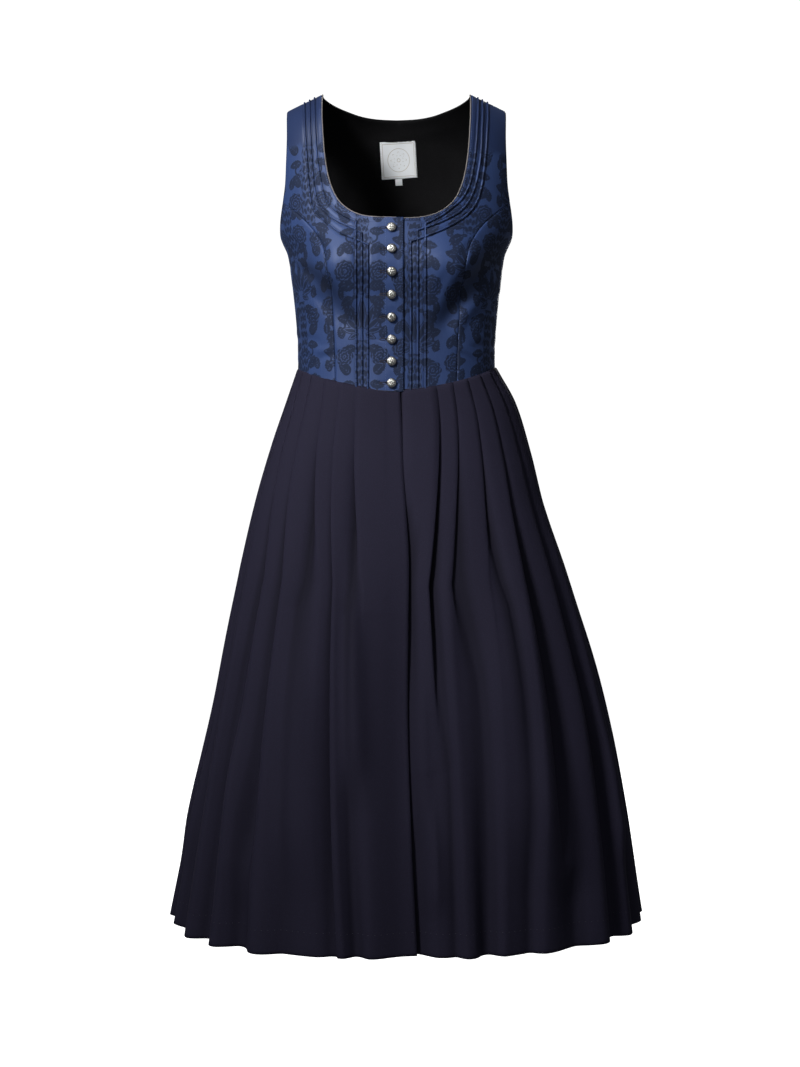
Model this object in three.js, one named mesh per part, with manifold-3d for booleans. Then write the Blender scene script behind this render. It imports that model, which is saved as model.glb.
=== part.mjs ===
// Dirndl: a sleeveless damask bodice with a round neck, eight domed buttons, corded tucks round the neck
// and down the front, a black back lining, and a knife-pleated midi skirt. Millimetres, +Z up, front at -Y.
// The origin lies midway between the shoulders. "right" is the wearer's right, at -X.
import * as THREE from 'three';
import { mergeVertices } from 'three/addons/utils/BufferGeometryUtils.js';
import Module from 'manifold-3d';

const wasm = await Module();
wasm.setup();

// Driving dimensions
const CLOTH = 1.2;
const LINING = 1.0;
const SKIRT_CLOTH = 1.0;
const SEAM_GAP = 0.3;
const SHOULDER = { neckX: 100, neckZ: 13, slope: 0.45, round: 70, edgeDrop: 0.0005 };
const WAIST = { sideZ: -362, frontDip: 37.5, backDip: 10, gap: 0.5, settle: 3 };
const UNDERARM_Z = -179.5;
const HEM_Z = -1100;
const SQUARENESS = 0.05;
const STEP_DEGREES = 0.5;
const PLACKET = { edge: 10, under: -16, lift: 2.4, rampFrom: -46, rampTo: -22 };
const BUTTON = { count: 8, x: -6, topZ: -188, bottomZ: -388, radius: 6.2, height: 4.6, lift: 0.35 };
const BUTTON_SEGMENTS = 12;
const TUCK = { halfWidth: 1.3, halfTop: 0.6, height: 1.4, lift: 0.95, waistGap: 1.2, shoulderGap: 4 };
const TUCK_STEPS = { neck: 20, upright: 14, spacing: 0.9 };
const LABEL = { x: 1.5, z: -53.5, width: 51, height: 50, thickness: 1, gap: 0.8, lean: 0.06, cells: 4 };
const SIZE_TAB = { x: 3, width: 10, height: 9 };
const BUST = { x: 78, z: -228, rise: 14, acrossX: 42, acrossZ: 38 };
const RELIEF_FADE = 2.5;
const HOLLOW = { fromX: 135, fromZ: -218, toX: 66, toZ: -306, depth: 5, width: 14 };
const PLEAT = { perSide: 14, first: 53, pitch: 22.3, layer: 1.6, underlap: 18, leastDepth: 6.2, shift: -1.5 };
const KNEE_FALL = 0.36;
const LOW_FALL = 0.68;
// Share of a pitch left after the last fold at the centre back, and how much further folds drift at the hem
const BACK_FOLDS = { lastShare: 0.7, pastLast: 1.02, hemDrift: 1.6 };
// How a pleat opens into a wave: how far a closed one reaches under its neighbour and an open one past its
// top, as shares of the pitch, how fast it opens, and how far open it may be and still keep its least depth
const OPENING = { closedReach: 0.85, openReach: 0.4, rate: 1.6, start: 0.1, keepDepth: 1.6 };
// The turns of a fold: the fall at which they are fully rounded, their largest width, the same as a share of
// the pitch, the share on the inside, and the layer's growth with the width and largest share of the depth
const TURN = { fullFall: 0.7, widest: 9, ofPitch: 0.12, inside: 0.6, layerGrowth: 0.1, ofDepth: 0.26 };
// The face between two folds: places of its points, how far the second has risen, and the layers in a pleat
const FACE = { first: 0.3, second: 0.6, rise: 0.62, reachRise: 0.03, layers: 2.2 };
// The centre-front edges and the centre back: heights off the section, and the left edge's reach underneath
const CENTRE = { height: 2.2, underlap: 15, clearance: 1, backHeight: 1 };
// The side seams lie between two points of a pleat's face: where the fronts end and the back begins
const SIDE_SEAM = { frontEnd: 0.88, backStart: 0.93 };
const COLUMNS_PER_PLEAT = 5;
const FRONT_PLEATS = 7;

// Rows and columns of the bodice panels. 'levelShare' is the part of the front that keeps level rows
const BODY_ROWS = 15;
const STRAP_ROWS = 8;
const CENTRE_ROWS = 11;
const COLUMNS = { front: 11, sideFront: 5, sideBack: 6, back: 7 };
const SPACING = { shoulder: 1.6, neck: 1.25, centreBack: 0.25, levelShare: 0.34 };
const ARMHOLE_BOW = { depth: 9, settle: 6 };
const HALF_SEAM_DEGREES = 0.085;

// Limits of the calculations
const BISECTIONS = 40;
const CURVE_STEPS = 300;
const MITRE = { least: 0.1, most: 1.4 };
const WELD = 1e-4;

// Torso sections: height, half width, depth in front of and behind the shoulder line
const TORSO = [
  { z: -402, halfWidth: 134, front: 95, back: 91 },
  { z: -362, halfWidth: 134, front: 97, back: 92 },
  { z: -325, halfWidth: 134.5, front: 101, back: 95 },
  { z: -280, halfWidth: 138, front: 110, back: 100 },
  { z: -238, halfWidth: 143, front: 118, back: 105 },
  { z: -205, halfWidth: 148, front: 113.5, back: 108 },
  { z: -180, halfWidth: 158, front: 107.5, back: 107 },
  { z: -140, halfWidth: 162, front: 100, back: 104 },
  { z: -90, halfWidth: 165, front: 95, back: 96 },
  { z: -40, halfWidth: 167, front: 90, back: 82 },
  { z: 20, halfWidth: 168, front: 85, back: 62 },
];

// Skirt sections: fraction of the way from the waist seam to the hem, half widths and depths
const SKIRT = [
  { fall: 0, right: 134, left: 137, front: 97, back: 93 },
  { fall: 0.06, right: 149, left: 161, front: 108, back: 102 },
  { fall: 0.15, right: 171, left: 181, front: 129, back: 117 },
  { fall: 0.25, right: 190, left: 199, front: 152, back: 135 },
  { fall: 0.42, right: 215, left: 239, front: 187, back: 163 },
  { fall: 0.61, right: 242, left: 279, front: 217, back: 188 },
  { fall: 0.8, right: 271, left: 306, front: 240, back: 208 },
  { fall: 1, right: 300, left: 329, front: 256, back: 224 },
];
const SKIRT_FALLS = [0, 0.03, 0.08, 0.16, 0.26, 0.34, 0.43, 0.56, 0.7, 0.85, 1];

// Front folds, a row each: distance from the centre at waist, knee and hem, the fall at which the fold
// has opened, and how deep it stands at knee, low skirt and hem
const FOLDS_RIGHT = [
  { waist: 53, knee: 42, hem: 30, opens: 0.26, kneeDepth: 5, lowDepth: 3, hemDepth: 14 },
  { waist: 73, knee: 78, hem: 68, opens: 0.85, kneeDepth: 15, lowDepth: 16, hemDepth: 9 },
  { waist: 92, knee: 98, hem: 105, opens: 0.26, kneeDepth: 5, lowDepth: 4, hemDepth: 5 },
  { waist: 109, knee: 141, hem: 172, opens: 0.56, kneeDepth: 17, lowDepth: 22, hemDepth: 22 },
  { waist: 122, knee: 168, hem: 226, opens: 0.34, kneeDepth: 9, lowDepth: 15, hemDepth: 22 },
];
const FOLDS_LEFT = [
  { waist: 49, knee: 40, hem: 54, opens: 0.43, kneeDepth: 15, lowDepth: 4, hemDepth: 5 },
  { waist: 70, knee: 68, hem: 92, opens: 0.34, kneeDepth: 7, lowDepth: 10, hemDepth: 18 },
  { waist: 90, knee: 118, hem: 138, opens: 0.26, kneeDepth: 7, lowDepth: 8, hemDepth: 7 },
  { waist: 110, knee: 158, hem: 190, opens: 0.56, kneeDepth: 20, lowDepth: 20, hemDepth: 14 },
  { waist: 129, knee: 196, hem: 262, opens: 0.43, kneeDepth: 15, lowDepth: 18, hemDepth: 16 },
];
// Depths of the folds at the sides and back, used in turn
const FOLDS_ROUND = [
  { opens: 0.43, kneeDepth: 10, lowDepth: 9, hemDepth: 8, drift: 4 },
  { opens: 0.56, kneeDepth: 19, lowDepth: 21, hemDepth: 16, drift: -5 },
  { opens: 0.34, kneeDepth: 7, lowDepth: 6, hemDepth: 6, drift: 3 },
  { opens: 0.56, kneeDepth: 16, lowDepth: 17, hemDepth: 13, drift: -3 },
];
// Centre-front edge of the skirt: where the right front ends, and how far the left one lies behind it
const SKIRT_EDGE = [
  { fall: 0, x: 5, behind: 4 },
  { fall: 0.15, x: 9, behind: 4 },
  { fall: 0.3, x: 15, behind: 11 },
  { fall: 0.42, x: 14, behind: 12 },
  { fall: 0.6, x: 13, behind: 6 },
  { fall: 0.8, x: 17, behind: 9 },
  { fall: 1, x: 24, behind: 16 },
];

// Bodice edges as rows of x and z on the outside of the body, from the waist up
const FRONT_NECK = [
  { x: 0, z: -173.5 }, { x: 28, z: -172.5 }, { x: 48, z: -168 }, { x: 63, z: -160 }, { x: 75, z: -148.5 },
  { x: 83, z: -134 }, { x: 89, z: -116 }, { x: 94, z: -88 }, { x: 97.5, z: -45 }, { x: 100, z: 13 },
];
const BACK_NECK = [
  { x: 0, z: -1.5 }, { x: 30, z: -1 }, { x: 50, z: 1 },
  { x: 66, z: 4.2 }, { x: 84, z: 8.3 }, { x: 100, z: 13 },
];
const FRONT_ARMHOLE = [
  { x: 153, z: -140 }, { x: 149.5, z: -118 }, { x: 148, z: -90 }, { x: 147, z: -55 }, { x: 149, z: -9.05 },
];
const BACK_ARMHOLE = [
  { x: 152, z: -140 }, { x: 147, z: -118 }, { x: 144.5, z: -90 }, { x: 145, z: -55 }, { x: 149, z: -9.05 },
];
const FRONT_PRINCESS = [
  { x: 80, z: -389 }, { x: 81, z: -345 }, { x: 83, z: -300 }, { x: 86, z: -262 }, { x: 91, z: -228 },
  { x: 98, z: -205 }, { x: 110, z: -184 }, { x: 128, z: -164 }, { x: 153, z: -140 },
];
const BACK_PRINCESS = [
  { x: 46, z: -370 }, { x: 50, z: -330 }, { x: 58, z: -285 }, { x: 70, z: -240 }, { x: 88, z: -200 },
  { x: 116, z: -164 }, { x: 152, z: -140 },
];
// Neck tucks, from the shoulder to the upright tuck that each one meets
const NECK_TUCKS_RIGHT = [
  [{ x: 110.5, z: 5 }, { x: 107, z: -45 }, { x: 104, z: -90 }, { x: 98, z: -125 }, { x: 93, z: -145 },
    { x: 83, z: -158 }, { x: 70, z: -168.5 }, { x: 52.5, z: -178 }],
  [{ x: 117, z: 2 }, { x: 114, z: -45 }, { x: 111.5, z: -90 }, { x: 108, z: -125 }, { x: 103, z: -148 },
    { x: 91, z: -165 }, { x: 77.7, z: -176 }, { x: 60, z: -185.5 }, { x: 44.7, z: -195 }],
  [{ x: 124, z: -1 }, { x: 121, z: -45 }, { x: 118, z: -90 }, { x: 114.5, z: -130 }, { x: 110, z: -155 },
    { x: 100, z: -168 }, { x: 88, z: -181 }, { x: 73, z: -193 }, { x: 56.8, z: -201 }, { x: 37, z: -211 }],
];
const NECK_TUCKS_LEFT = [
  [{ x: 110, z: 5 }, { x: 107, z: -45 }, { x: 103, z: -90 }, { x: 96, z: -125 }, { x: 86, z: -145 },
    { x: 73, z: -158 }, { x: 57, z: -171 }, { x: 38, z: -181.5 }],
  [{ x: 116, z: 2 }, { x: 113.5, z: -45 }, { x: 110.5, z: -90 }, { x: 104, z: -125 }, { x: 96, z: -146 },
    { x: 84, z: -162 }, { x: 70, z: -172 }, { x: 50, z: -182 }, { x: 28, z: -190.5 }],
  [{ x: 123, z: -1 }, { x: 120.5, z: -45 }, { x: 117, z: -90 }, { x: 112, z: -126 }, { x: 104.5, z: -150 },
    { x: 92, z: -167 }, { x: 73, z: -182 }, { x: 46, z: -196 }, { x: 19, z: -206 }],
];
const UPRIGHT_TUCKS_RIGHT = [
  { x: 52.5, topZ: -177 }, { x: 44.7, topZ: -194 }, { x: 37, topZ: -210 },
];
const UPRIGHT_TUCKS_LEFT = [
  { x: 38, topZ: -180.5 }, { x: 28, topZ: -189.5 }, { x: 19, topZ: -205 },
];

// The button's outline as shares of its radius and height, from the middle of its back to the top of its dome
const BUTTON_PROFILE = [
  { radius: 0, height: 0 }, { radius: 0.5, height: 0 }, { radius: 0.55, height: 0.217 },
  { radius: 0.97, height: 0.304 }, { radius: 1, height: 0.435 }, { radius: 0.84, height: 0.8 },
  { radius: 0.45, height: 0.97 }, { radius: 0, height: 1 },
];

const COLOURS = {
  damask: { color: 0x46598a, roughness: 0.42 },
  lining: { color: 0x131214, roughness: 0.7 },
  skirt: { color: 0x25253a, roughness: 0.8 },
  silver: { color: 0xd8d6cc, roughness: 0.25, metalness: 1 },
  label: { color: 0xe4e8ec, roughness: 0.6 },
};

const lerp = (a, b, q) => a + (b - a) * q;
const clamp = (value, low, high) => Math.min(high, Math.max(low, value));
const ease = (q) => q * q * (3 - 2 * q);

// A smooth curve through a table's rows: cubic with finite-difference slopes
function smooth(rows, key, column, at) {
  let i = 0;
  while (i < rows.length - 2 && (rows[i + 1][key] - at) * Math.sign(rows[1][key] - rows[0][key]) < 0) i++;
  const slope = (k) => {
    const low = Math.max(0, k - 1);
    const high = Math.min(rows.length - 1, k + 1);
    return (rows[high][column] - rows[low][column]) / (rows[high][key] - rows[low][key]);
  };
  const width = rows[i + 1][key] - rows[i][key];
  const q = clamp((at - rows[i][key]) / width, 0, 1);
  const q2 = q * q;
  const q3 = q2 * q;
  return (2 * q3 - 3 * q2 + 1) * rows[i][column] + (q3 - 2 * q2 + q) * width * slope(i)
    + (-2 * q3 + 3 * q2) * rows[i + 1][column] + (q3 - q2) * width * slope(i + 1);
}

// Points evenly spaced by length on a smooth curve through edge rows
function alongEdge(rows, count, spacing = (q) => q) {
  const curve = new THREE.CatmullRomCurve3(rows.map((row) => new THREE.Vector3(row.x, 0, row.z)));
  curve.arcLengthDivisions = CURVE_STEPS;
  const points = [];
  for (let i = 0; i <= count; i++) {
    const point = curve.getPointAt(clamp(spacing(i / count), 0, 1));
    points.push({ x: point.x, z: point.z });
  }
  return points;
}

const shoulderHeight = (x) => SHOULDER.neckZ - (x - SHOULDER.neckX) * SHOULDER.slope;

// How far the body has rounded over at a drop below the shoulder line, 0 at the top and 1 from 'round' down
function shoulderRound(drop) {
  const q = clamp(1 - drop / SHOULDER.round, 0, 1);
  return Math.sqrt(1 - q * q);
}

// Bust shaping of the front and the soft hollow that runs down below it
function frontRelief(x, z) {
  const across = (x - BUST.x) / BUST.acrossX;
  const down = (z - BUST.z) / BUST.acrossZ;
  const bust = BUST.rise * Math.exp(-across * across - down * down);
  const runX = HOLLOW.toX - HOLLOW.fromX;
  const runZ = HOLLOW.toZ - HOLLOW.fromZ;
  const run = Math.hypot(runX, runZ);
  const along = clamp(((x - HOLLOW.fromX) * runX + (z - HOLLOW.fromZ) * runZ) / (run * run), 0, 1);
  const off = Math.hypot(x - HOLLOW.fromX - runX * along, z - HOLLOW.fromZ - runZ * along) / HOLLOW.width;
  return bust - HOLLOW.depth * Math.exp(-off * off);
}

// Point on the body of the bodice, by angle from the centre front (0) to the centre back (180 degrees)
function torsoPoint(side, degrees, z) {
  const t = THREE.MathUtils.degToRad(degrees);
  const squarer = 1 + SQUARENESS * Math.sin(2 * t) ** 2;
  const x = smooth(TORSO, 'z', 'halfWidth', z) * squarer * Math.sin(t);
  const drop = shoulderHeight(Math.abs(x)) - z;
  const depth = smooth(TORSO, 'z', Math.cos(t) >= 0 ? 'front' : 'back', z);
  const fade = clamp(Math.cos(t) * RELIEF_FADE, 0, 1);
  const y = -depth * squarer * Math.cos(t) * shoulderRound(drop) - frontRelief(Math.abs(x), z) * ease(fade);
  return new THREE.Vector3(side * x, y, z);
}

// Outward normal of the body, from steps along the shoulder line's slope and straight down
function torsoNormal(side, degrees, z) {
  const point = torsoPoint(side, degrees, z);
  const besideLevel = torsoPoint(side, degrees + STEP_DEGREES, z);
  const rise = shoulderHeight(Math.abs(besideLevel.x)) - shoulderHeight(Math.abs(point.x));
  const across = torsoPoint(side, degrees + STEP_DEGREES, z + rise).sub(point);
  const down = torsoPoint(side, degrees, z - 0.5).sub(point);
  return down.cross(across).multiplyScalar(side).normalize();
}

// The angle at which the body has a given x at a height, in front or behind
function torsoAngle(x, z, behind) {
  let low = 0;
  let high = 90;
  for (let i = 0; i < BISECTIONS; i++) {
    const middle = (low + high) / 2;
    if (torsoPoint(1, middle, z).x < Math.abs(x)) low = middle;
    else high = middle;
  }
  const angle = x < 0 ? -low : low;
  return behind ? 180 - angle : angle;
}

const waistZ = (degrees) => {
  const c = Math.cos(THREE.MathUtils.degToRad(degrees));
  return WAIST.sideZ - (c > 0 ? WAIST.frontDip : WAIST.backDip) * c * c;
};

// A normal at each point of a grid, away from the upright axis, lengthened at a corner between columns
function gridNormals(grid) {
  const direction = (a, b) => new THREE.Vector3().subVectors(b, a).normalize();
  const normals = grid.map((row, i) => row.map((point, j) => {
    const before = j > 0 ? direction(row[j - 1], point) : direction(point, row[j + 1]);
    const after = j < row.length - 1 ? direction(point, row[j + 1]) : before;
    const across = before.clone().add(after).normalize();
    const up = i > 0 ? direction(grid[i - 1][j], point) : new THREE.Vector3();
    if (i < grid.length - 1) up.add(direction(point, grid[i + 1][j]));
    const normal = across.clone().cross(up.normalize()).normalize();
    const lengthen = clamp(1 / Math.max(MITRE.least, across.dot(before)), 1, MITRE.most);
    return normal.multiplyScalar(lengthen);
  }));
  let outward = 0;
  grid.forEach((row, i) => row.forEach((point, j) => {
    outward += normals[i][j].x * point.x + normals[i][j].y * point.y;
  }));
  if (outward < 0) normals.flat().forEach((normal) => normal.negate());
  return normals;
}

// Closed wall round a sheet of quads: outside and inside faces, joined along every free edge
function closedWall(outside, inside, quads) {
  const corners = outside.length;
  const index = [];
  const edges = new Map();
  for (const [a, b, c, d] of quads) {
    index.push(a, b, c, a, c, d);
    index.push(a + corners, c + corners, b + corners, a + corners, d + corners, c + corners);
    for (const [from, to] of [[a, b], [b, c], [c, d], [d, a]]) {
      if (edges.has(`${to},${from}`)) edges.delete(`${to},${from}`);
      else edges.set(`${from},${to}`, [from, to]);
    }
  }
  for (const [from, to] of edges.values()) {
    index.push(to, from, from + corners, to, from + corners, to + corners);
  }
  const geometry = new THREE.BufferGeometry();
  const positions = [...outside, ...inside].flatMap((point) => [point.x, point.y, point.z]);
  geometry.setAttribute('position', new THREE.Float32BufferAttribute(positions, 3));
  geometry.setIndex(index);
  return facingOut(geometry);
}

// Turns a closed mesh's faces outward where its volume comes out negative
function facingOut(geometry) {
  const position = geometry.getAttribute('position');
  const index = geometry.getIndex().array;
  const corner = (i) => new THREE.Vector3().fromBufferAttribute(position, index[i]);
  let volume = 0;
  for (let i = 0; i < index.length; i += 3) volume += corner(i).dot(corner(i + 1).cross(corner(i + 2)));
  if (volume < 0) {
    for (let i = 0; i < index.length; i += 3) [index[i], index[i + 1]] = [index[i + 1], index[i]];
  }
  return geometry;
}

// Wall of one grid of points, with its middle moved out by an offset
function gridWall(grid, thickness, offset = () => 0, normals = gridNormals(grid)) {
  const columns = grid[0].length;
  const outside = [];
  const inside = [];
  const quads = [];
  grid.forEach((row, i) => row.forEach((point, j) => {
    const middle = offset(point);
    outside.push(point.clone().addScaledVector(normals[i][j], middle + thickness / 2));
    inside.push(point.clone().addScaledVector(normals[i][j], middle - thickness / 2));
    if (i > 0 && j > 0) {
      const here = i * columns + j;
      quads.push([here - columns - 1, here - columns, here, here - 1]);
    }
  }));
  return closedWall(outside, inside, quads);
}

// Joins closed meshes into one
function joined(geometries) {
  const solids = geometries.map((geometry) => {
    const bare = geometry.clone();
    const others = Object.keys(bare.attributes).filter((name) => name !== 'position');
    others.forEach((name) => bare.deleteAttribute(name));
    const merged = mergeVertices(bare, WELD);
    return new wasm.Manifold(new wasm.Mesh({
      numProp: 3,
      vertProperties: new Float32Array(merged.getAttribute('position').array),
      triVerts: new Uint32Array(merged.getIndex().array),
    }));
  });
  const mesh = solids.reduce((sum, solid) => sum.add(solid)).getMesh();
  const geometry = new THREE.BufferGeometry();
  geometry.setAttribute('position', new THREE.Float32BufferAttribute(mesh.vertProperties, 3));
  geometry.setIndex(Array.from(mesh.triVerts));
  return geometry;
}

const part = new THREE.Group();

function addNode(name, geometry, look) {
  const mesh = new THREE.Mesh(geometry, new THREE.MeshStandardMaterial(look));
  mesh.name = name;
  part.add(mesh);
}

// Bodice panels are grids between an inner edge (towards the centre) and an outer edge, both as lists of
// angle and height. Rows near the waist follow the curved waist seam, and 'level' is the share of the
// width, by the inner edge, over which body rows stay level. 'bow' sinks the top row into the armhole.
function panelGrid(side, inner, outer, columns, gaps, { bow = 0, level = 0, levelRows = 0 } = {}) {
  const rows = inner.length - 1;
  const slant = (i, u) => {
    const flat = i <= levelRows ? level : 0;
    return lerp(inner[i].z, outer[i].z, Math.max(0, u - flat) / (1 - flat));
  };
  const points = [];
  const normals = [];
  for (let i = 0; i <= rows; i++) {
    const q = i / rows;
    points.push([]);
    normals.push([]);
    for (let j = 0; j <= columns; j++) {
      const u = j / columns;
      const trim = lerp(gaps.inner, -gaps.outer, u);
      const degrees = lerp(inner[i].degrees, outer[i].degrees, u) + trim;
      const atWaist = lerp(inner[0].degrees, outer[0].degrees, u) + trim;
      const seam = (waistZ(atWaist) - slant(0, u)) * (1 - q) ** WAIST.settle;
      let z = slant(i, u) + seam - bow * Math.sin(Math.PI * u) * q ** ARMHOLE_BOW.settle;
      if (i > BODY_ROWS) {
        const strap = (i - BODY_ROWS) / STRAP_ROWS;
        z = lerp(z, besideShoulder(side, inner[i], outer[i], u, degrees, z), strap);
      }
      points[i].push(torsoPoint(side, degrees, z));
      normals[i].push(torsoNormal(side, degrees, z));
    }
  }
  return { points, normals };
}

// Height with the drop below the sloping shoulder line blended from an inner to an outer edge point
function besideShoulder(side, from, to, u, degrees, z) {
  const line = (angle, height) => shoulderHeight(Math.abs(torsoPoint(side, angle, height).x));
  const drop = lerp(line(from.degrees, from.z) - from.z, line(to.degrees, to.z) - to.z, u);
  return line(degrees, z) - Math.max(drop, SHOULDER.edgeDrop);
}

const panelWall = (panel, thickness, offset) => gridWall(panel.points, thickness, offset, panel.normals);

const withAngles = (points, behind) => points.map((p) => ({ z: p.z, degrees: torsoAngle(p.x, p.z, behind) }));
const shoulderSpacing = (q) => 1 - (1 - q) ** SPACING.shoulder;
const neckSpacing = (q) => 1 - (1 - q) ** SPACING.neck;

// Ends an edge just short of the shoulder seam, where the front and back straps meet
function strapEdge(points) {
  const last = points[points.length - 1];
  last.z = shoulderHeight(last.x) - SHOULDER.edgeDrop;
  return points;
}

function frontPanel(side, centreX) {
  const centre = [];
  for (let i = 0; i <= CENTRE_ROWS; i++) {
    const z = lerp(waistZ(0), FRONT_NECK[0].z, i / CENTRE_ROWS);
    centre.push({ z, degrees: Math.sign(centreX) * torsoAngle(Math.abs(centreX), z, false) });
  }
  const neckRows = BODY_ROWS + STRAP_ROWS - CENTRE_ROWS;
  const neck = withAngles(strapEdge(alongEdge(FRONT_NECK, neckRows, neckSpacing)), false);
  const armhole = withAngles(strapEdge(alongEdge(FRONT_ARMHOLE, STRAP_ROWS, shoulderSpacing)), false);
  const inner = [...centre, ...neck.slice(1)];
  const outer = [...frontPrincess(), ...armhole.slice(1)];
  const gaps = { inner: 0, outer: HALF_SEAM_DEGREES };
  const level = { level: SPACING.levelShare, levelRows: CENTRE_ROWS - 1 };
  return panelGrid(side, inner, outer, COLUMNS.front, gaps, level);
}

function placketOffset(point) {
  const q = clamp((point.x - PLACKET.rampFrom) / (PLACKET.rampTo - PLACKET.rampFrom), 0, 1);
  return PLACKET.lift * ease(q);
}

function sideSeam() {
  const rows = [];
  for (let i = 0; i <= BODY_ROWS; i++) {
    rows.push({ z: lerp(WAIST.sideZ, UNDERARM_Z, i / BODY_ROWS), degrees: 90 });
  }
  return rows;
}

function frontPrincess() {
  const princess = withAngles(alongEdge(FRONT_PRINCESS, BODY_ROWS), false);
  princess[0].z = waistZ(princess[0].degrees);
  return princess;
}

function backPrincess() {
  const princess = withAngles(alongEdge(BACK_PRINCESS, BODY_ROWS), true);
  princess[0].z = waistZ(princess[0].degrees);
  return princess;
}

function sideFrontPanel(side) {
  const gaps = { inner: HALF_SEAM_DEGREES, outer: HALF_SEAM_DEGREES };
  const bow = { bow: ARMHOLE_BOW.depth };
  return panelGrid(side, frontPrincess(), sideSeam(), COLUMNS.sideFront, gaps, bow);
}

function sideBackPanel(side) {
  const gaps = { inner: -HALF_SEAM_DEGREES, outer: -HALF_SEAM_DEGREES };
  const bow = { bow: ARMHOLE_BOW.depth };
  return panelGrid(side, backPrincess(), sideSeam(), COLUMNS.sideBack, gaps, bow);
}

// Half of the back, from the centre line and neck out to the princess seam and armhole
function backHalf(side, seam, columns) {
  const centre = [];
  for (let i = 0; i <= BODY_ROWS; i++) {
    const q = i / BODY_ROWS;
    const z = lerp(waistZ(180), BACK_NECK[0].z, lerp(q, ease(q), SPACING.centreBack));
    centre.push({ z, degrees: 180 });
  }
  const neck = withAngles(strapEdge(alongEdge(BACK_NECK, STRAP_ROWS)), true);
  const armhole = withAngles(strapEdge(alongEdge(BACK_ARMHOLE, STRAP_ROWS, shoulderSpacing)), true);
  const inner = [...centre, ...neck.slice(1)];
  const outer = [...seam, ...armhole.slice(1)];
  return panelGrid(side, inner, outer, columns, { inner: 0, outer: -HALF_SEAM_DEGREES });
}

// Both halves of the back in one wall, sharing the points of the centre line
function backWall(seam, columns, thickness, offset) {
  const outside = [];
  const inside = [];
  const quads = [];
  const numbers = new Map();
  for (const side of [-1, 1]) {
    const { points, normals } = backHalf(side, seam, columns);
    const place = points.map((row, i) => row.map((point, j) => {
      const key = j === 0 && i <= BODY_ROWS ? `centre${i}` : `${side},${i},${j}`;
      if (!numbers.has(key)) {
        const normal = normals[i][j].clone();
        if (key.startsWith('centre')) normal.setX(0).normalize();
        numbers.set(key, outside.length);
        outside.push(point.clone().addScaledVector(normal, offset + thickness / 2));
        inside.push(point.clone().addScaledVector(normal, offset - thickness / 2));
      }
      return numbers.get(key);
    }));
    for (let i = 1; i < points.length; i++) {
      for (let j = 1; j <= columns; j++) {
        const quad = [place[i - 1][j - 1], place[i - 1][j], place[i][j], place[i][j - 1]];
        quads.push(side > 0 ? quad.reverse() : quad);
      }
    }
  }
  return closedWall(outside, inside, quads);
}

// Point on the front at x and z, moved out along the surface's normal
function onFront(x, z, lift) {
  const side = Math.sign(x) || 1;
  const degrees = torsoAngle(Math.abs(x), z, false);
  const normal = torsoNormal(side, degrees, z);
  return { point: torsoPoint(side, degrees, z).addScaledVector(normal, lift), normal };
}

// A corded tuck: a ridge with a narrow top, laid along points of the front
function tuckRidge(side, path) {
  const base = CLOTH / 2 + TUCK.lift;
  const onCloth = path.map((p) => {
    const x = side * p.x;
    const lift = side < 0 ? placketOffset({ x }) : 0;
    return onFront(x, p.z, base + lift);
  });
  const outline = [[-TUCK.halfWidth, 0], [-TUCK.halfTop, TUCK.height], [TUCK.halfTop, TUCK.height],
    [TUCK.halfWidth, 0]];
  const corners = outline.length;
  const outside = [];
  const index = [];
  onCloth.forEach(({ point, normal }, i) => {
    const next = onCloth[Math.min(i + 1, onCloth.length - 1)].point;
    const last = onCloth[Math.max(i - 1, 0)].point;
    const across = new THREE.Vector3().subVectors(next, last).normalize().cross(normal).normalize();
    for (const [w, h] of outline) {
      outside.push(point.clone().addScaledVector(across, w).addScaledVector(normal, h));
    }
    if (i === 0) return;
    for (let k = 0; k < corners; k++) {
      const a = (i - 1) * corners + k;
      const b = (i - 1) * corners + (k + 1) % corners;
      index.push(a, b, b + corners, a, b + corners, a + corners);
    }
  });
  const end = (onCloth.length - 1) * corners;
  index.push(0, 2, 1, 0, 3, 2, end, end + 1, end + 2, end, end + 2, end + 3);
  const geometry = new THREE.BufferGeometry();
  geometry.setAttribute('position', new THREE.Float32BufferAttribute(
    outside.flatMap((p) => [p.x, p.y, p.z]), 3));
  geometry.setIndex(index);
  return facingOut(geometry);
}

function tuckSet(side, neckTucks, uprightTucks) {
  const ridges = neckTucks.map((rows) => {
    const path = alongEdge(rows, TUCK_STEPS.neck, (q) => 1 - (1 - q) ** TUCK_STEPS.spacing);
    path[0].z = Math.min(path[0].z, shoulderHeight(path[0].x) - TUCK.shoulderGap);
    return tuckRidge(side, path);
  });
  for (const { x, topZ } of uprightTucks) {
    const path = [];
    const bottom = waistZ(torsoAngle(x, WAIST.sideZ, false)) + TUCK.waistGap;
    for (let i = 0; i <= TUCK_STEPS.upright; i++) {
      path.push({ x, z: lerp(topZ, bottom, i / TUCK_STEPS.upright) });
    }
    ridges.push(tuckRidge(side, path));
  }
  return joined(ridges);
}

// Domed button with a short shank, its flat back towards the cloth
function buttonGeometry() {
  const outline = BUTTON_PROFILE.map((row) => (
    new THREE.Vector2(row.radius * BUTTON.radius, row.height * BUTTON.height)));
  return new THREE.LatheGeometry(outline, BUTTON_SEGMENTS);
}

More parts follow.
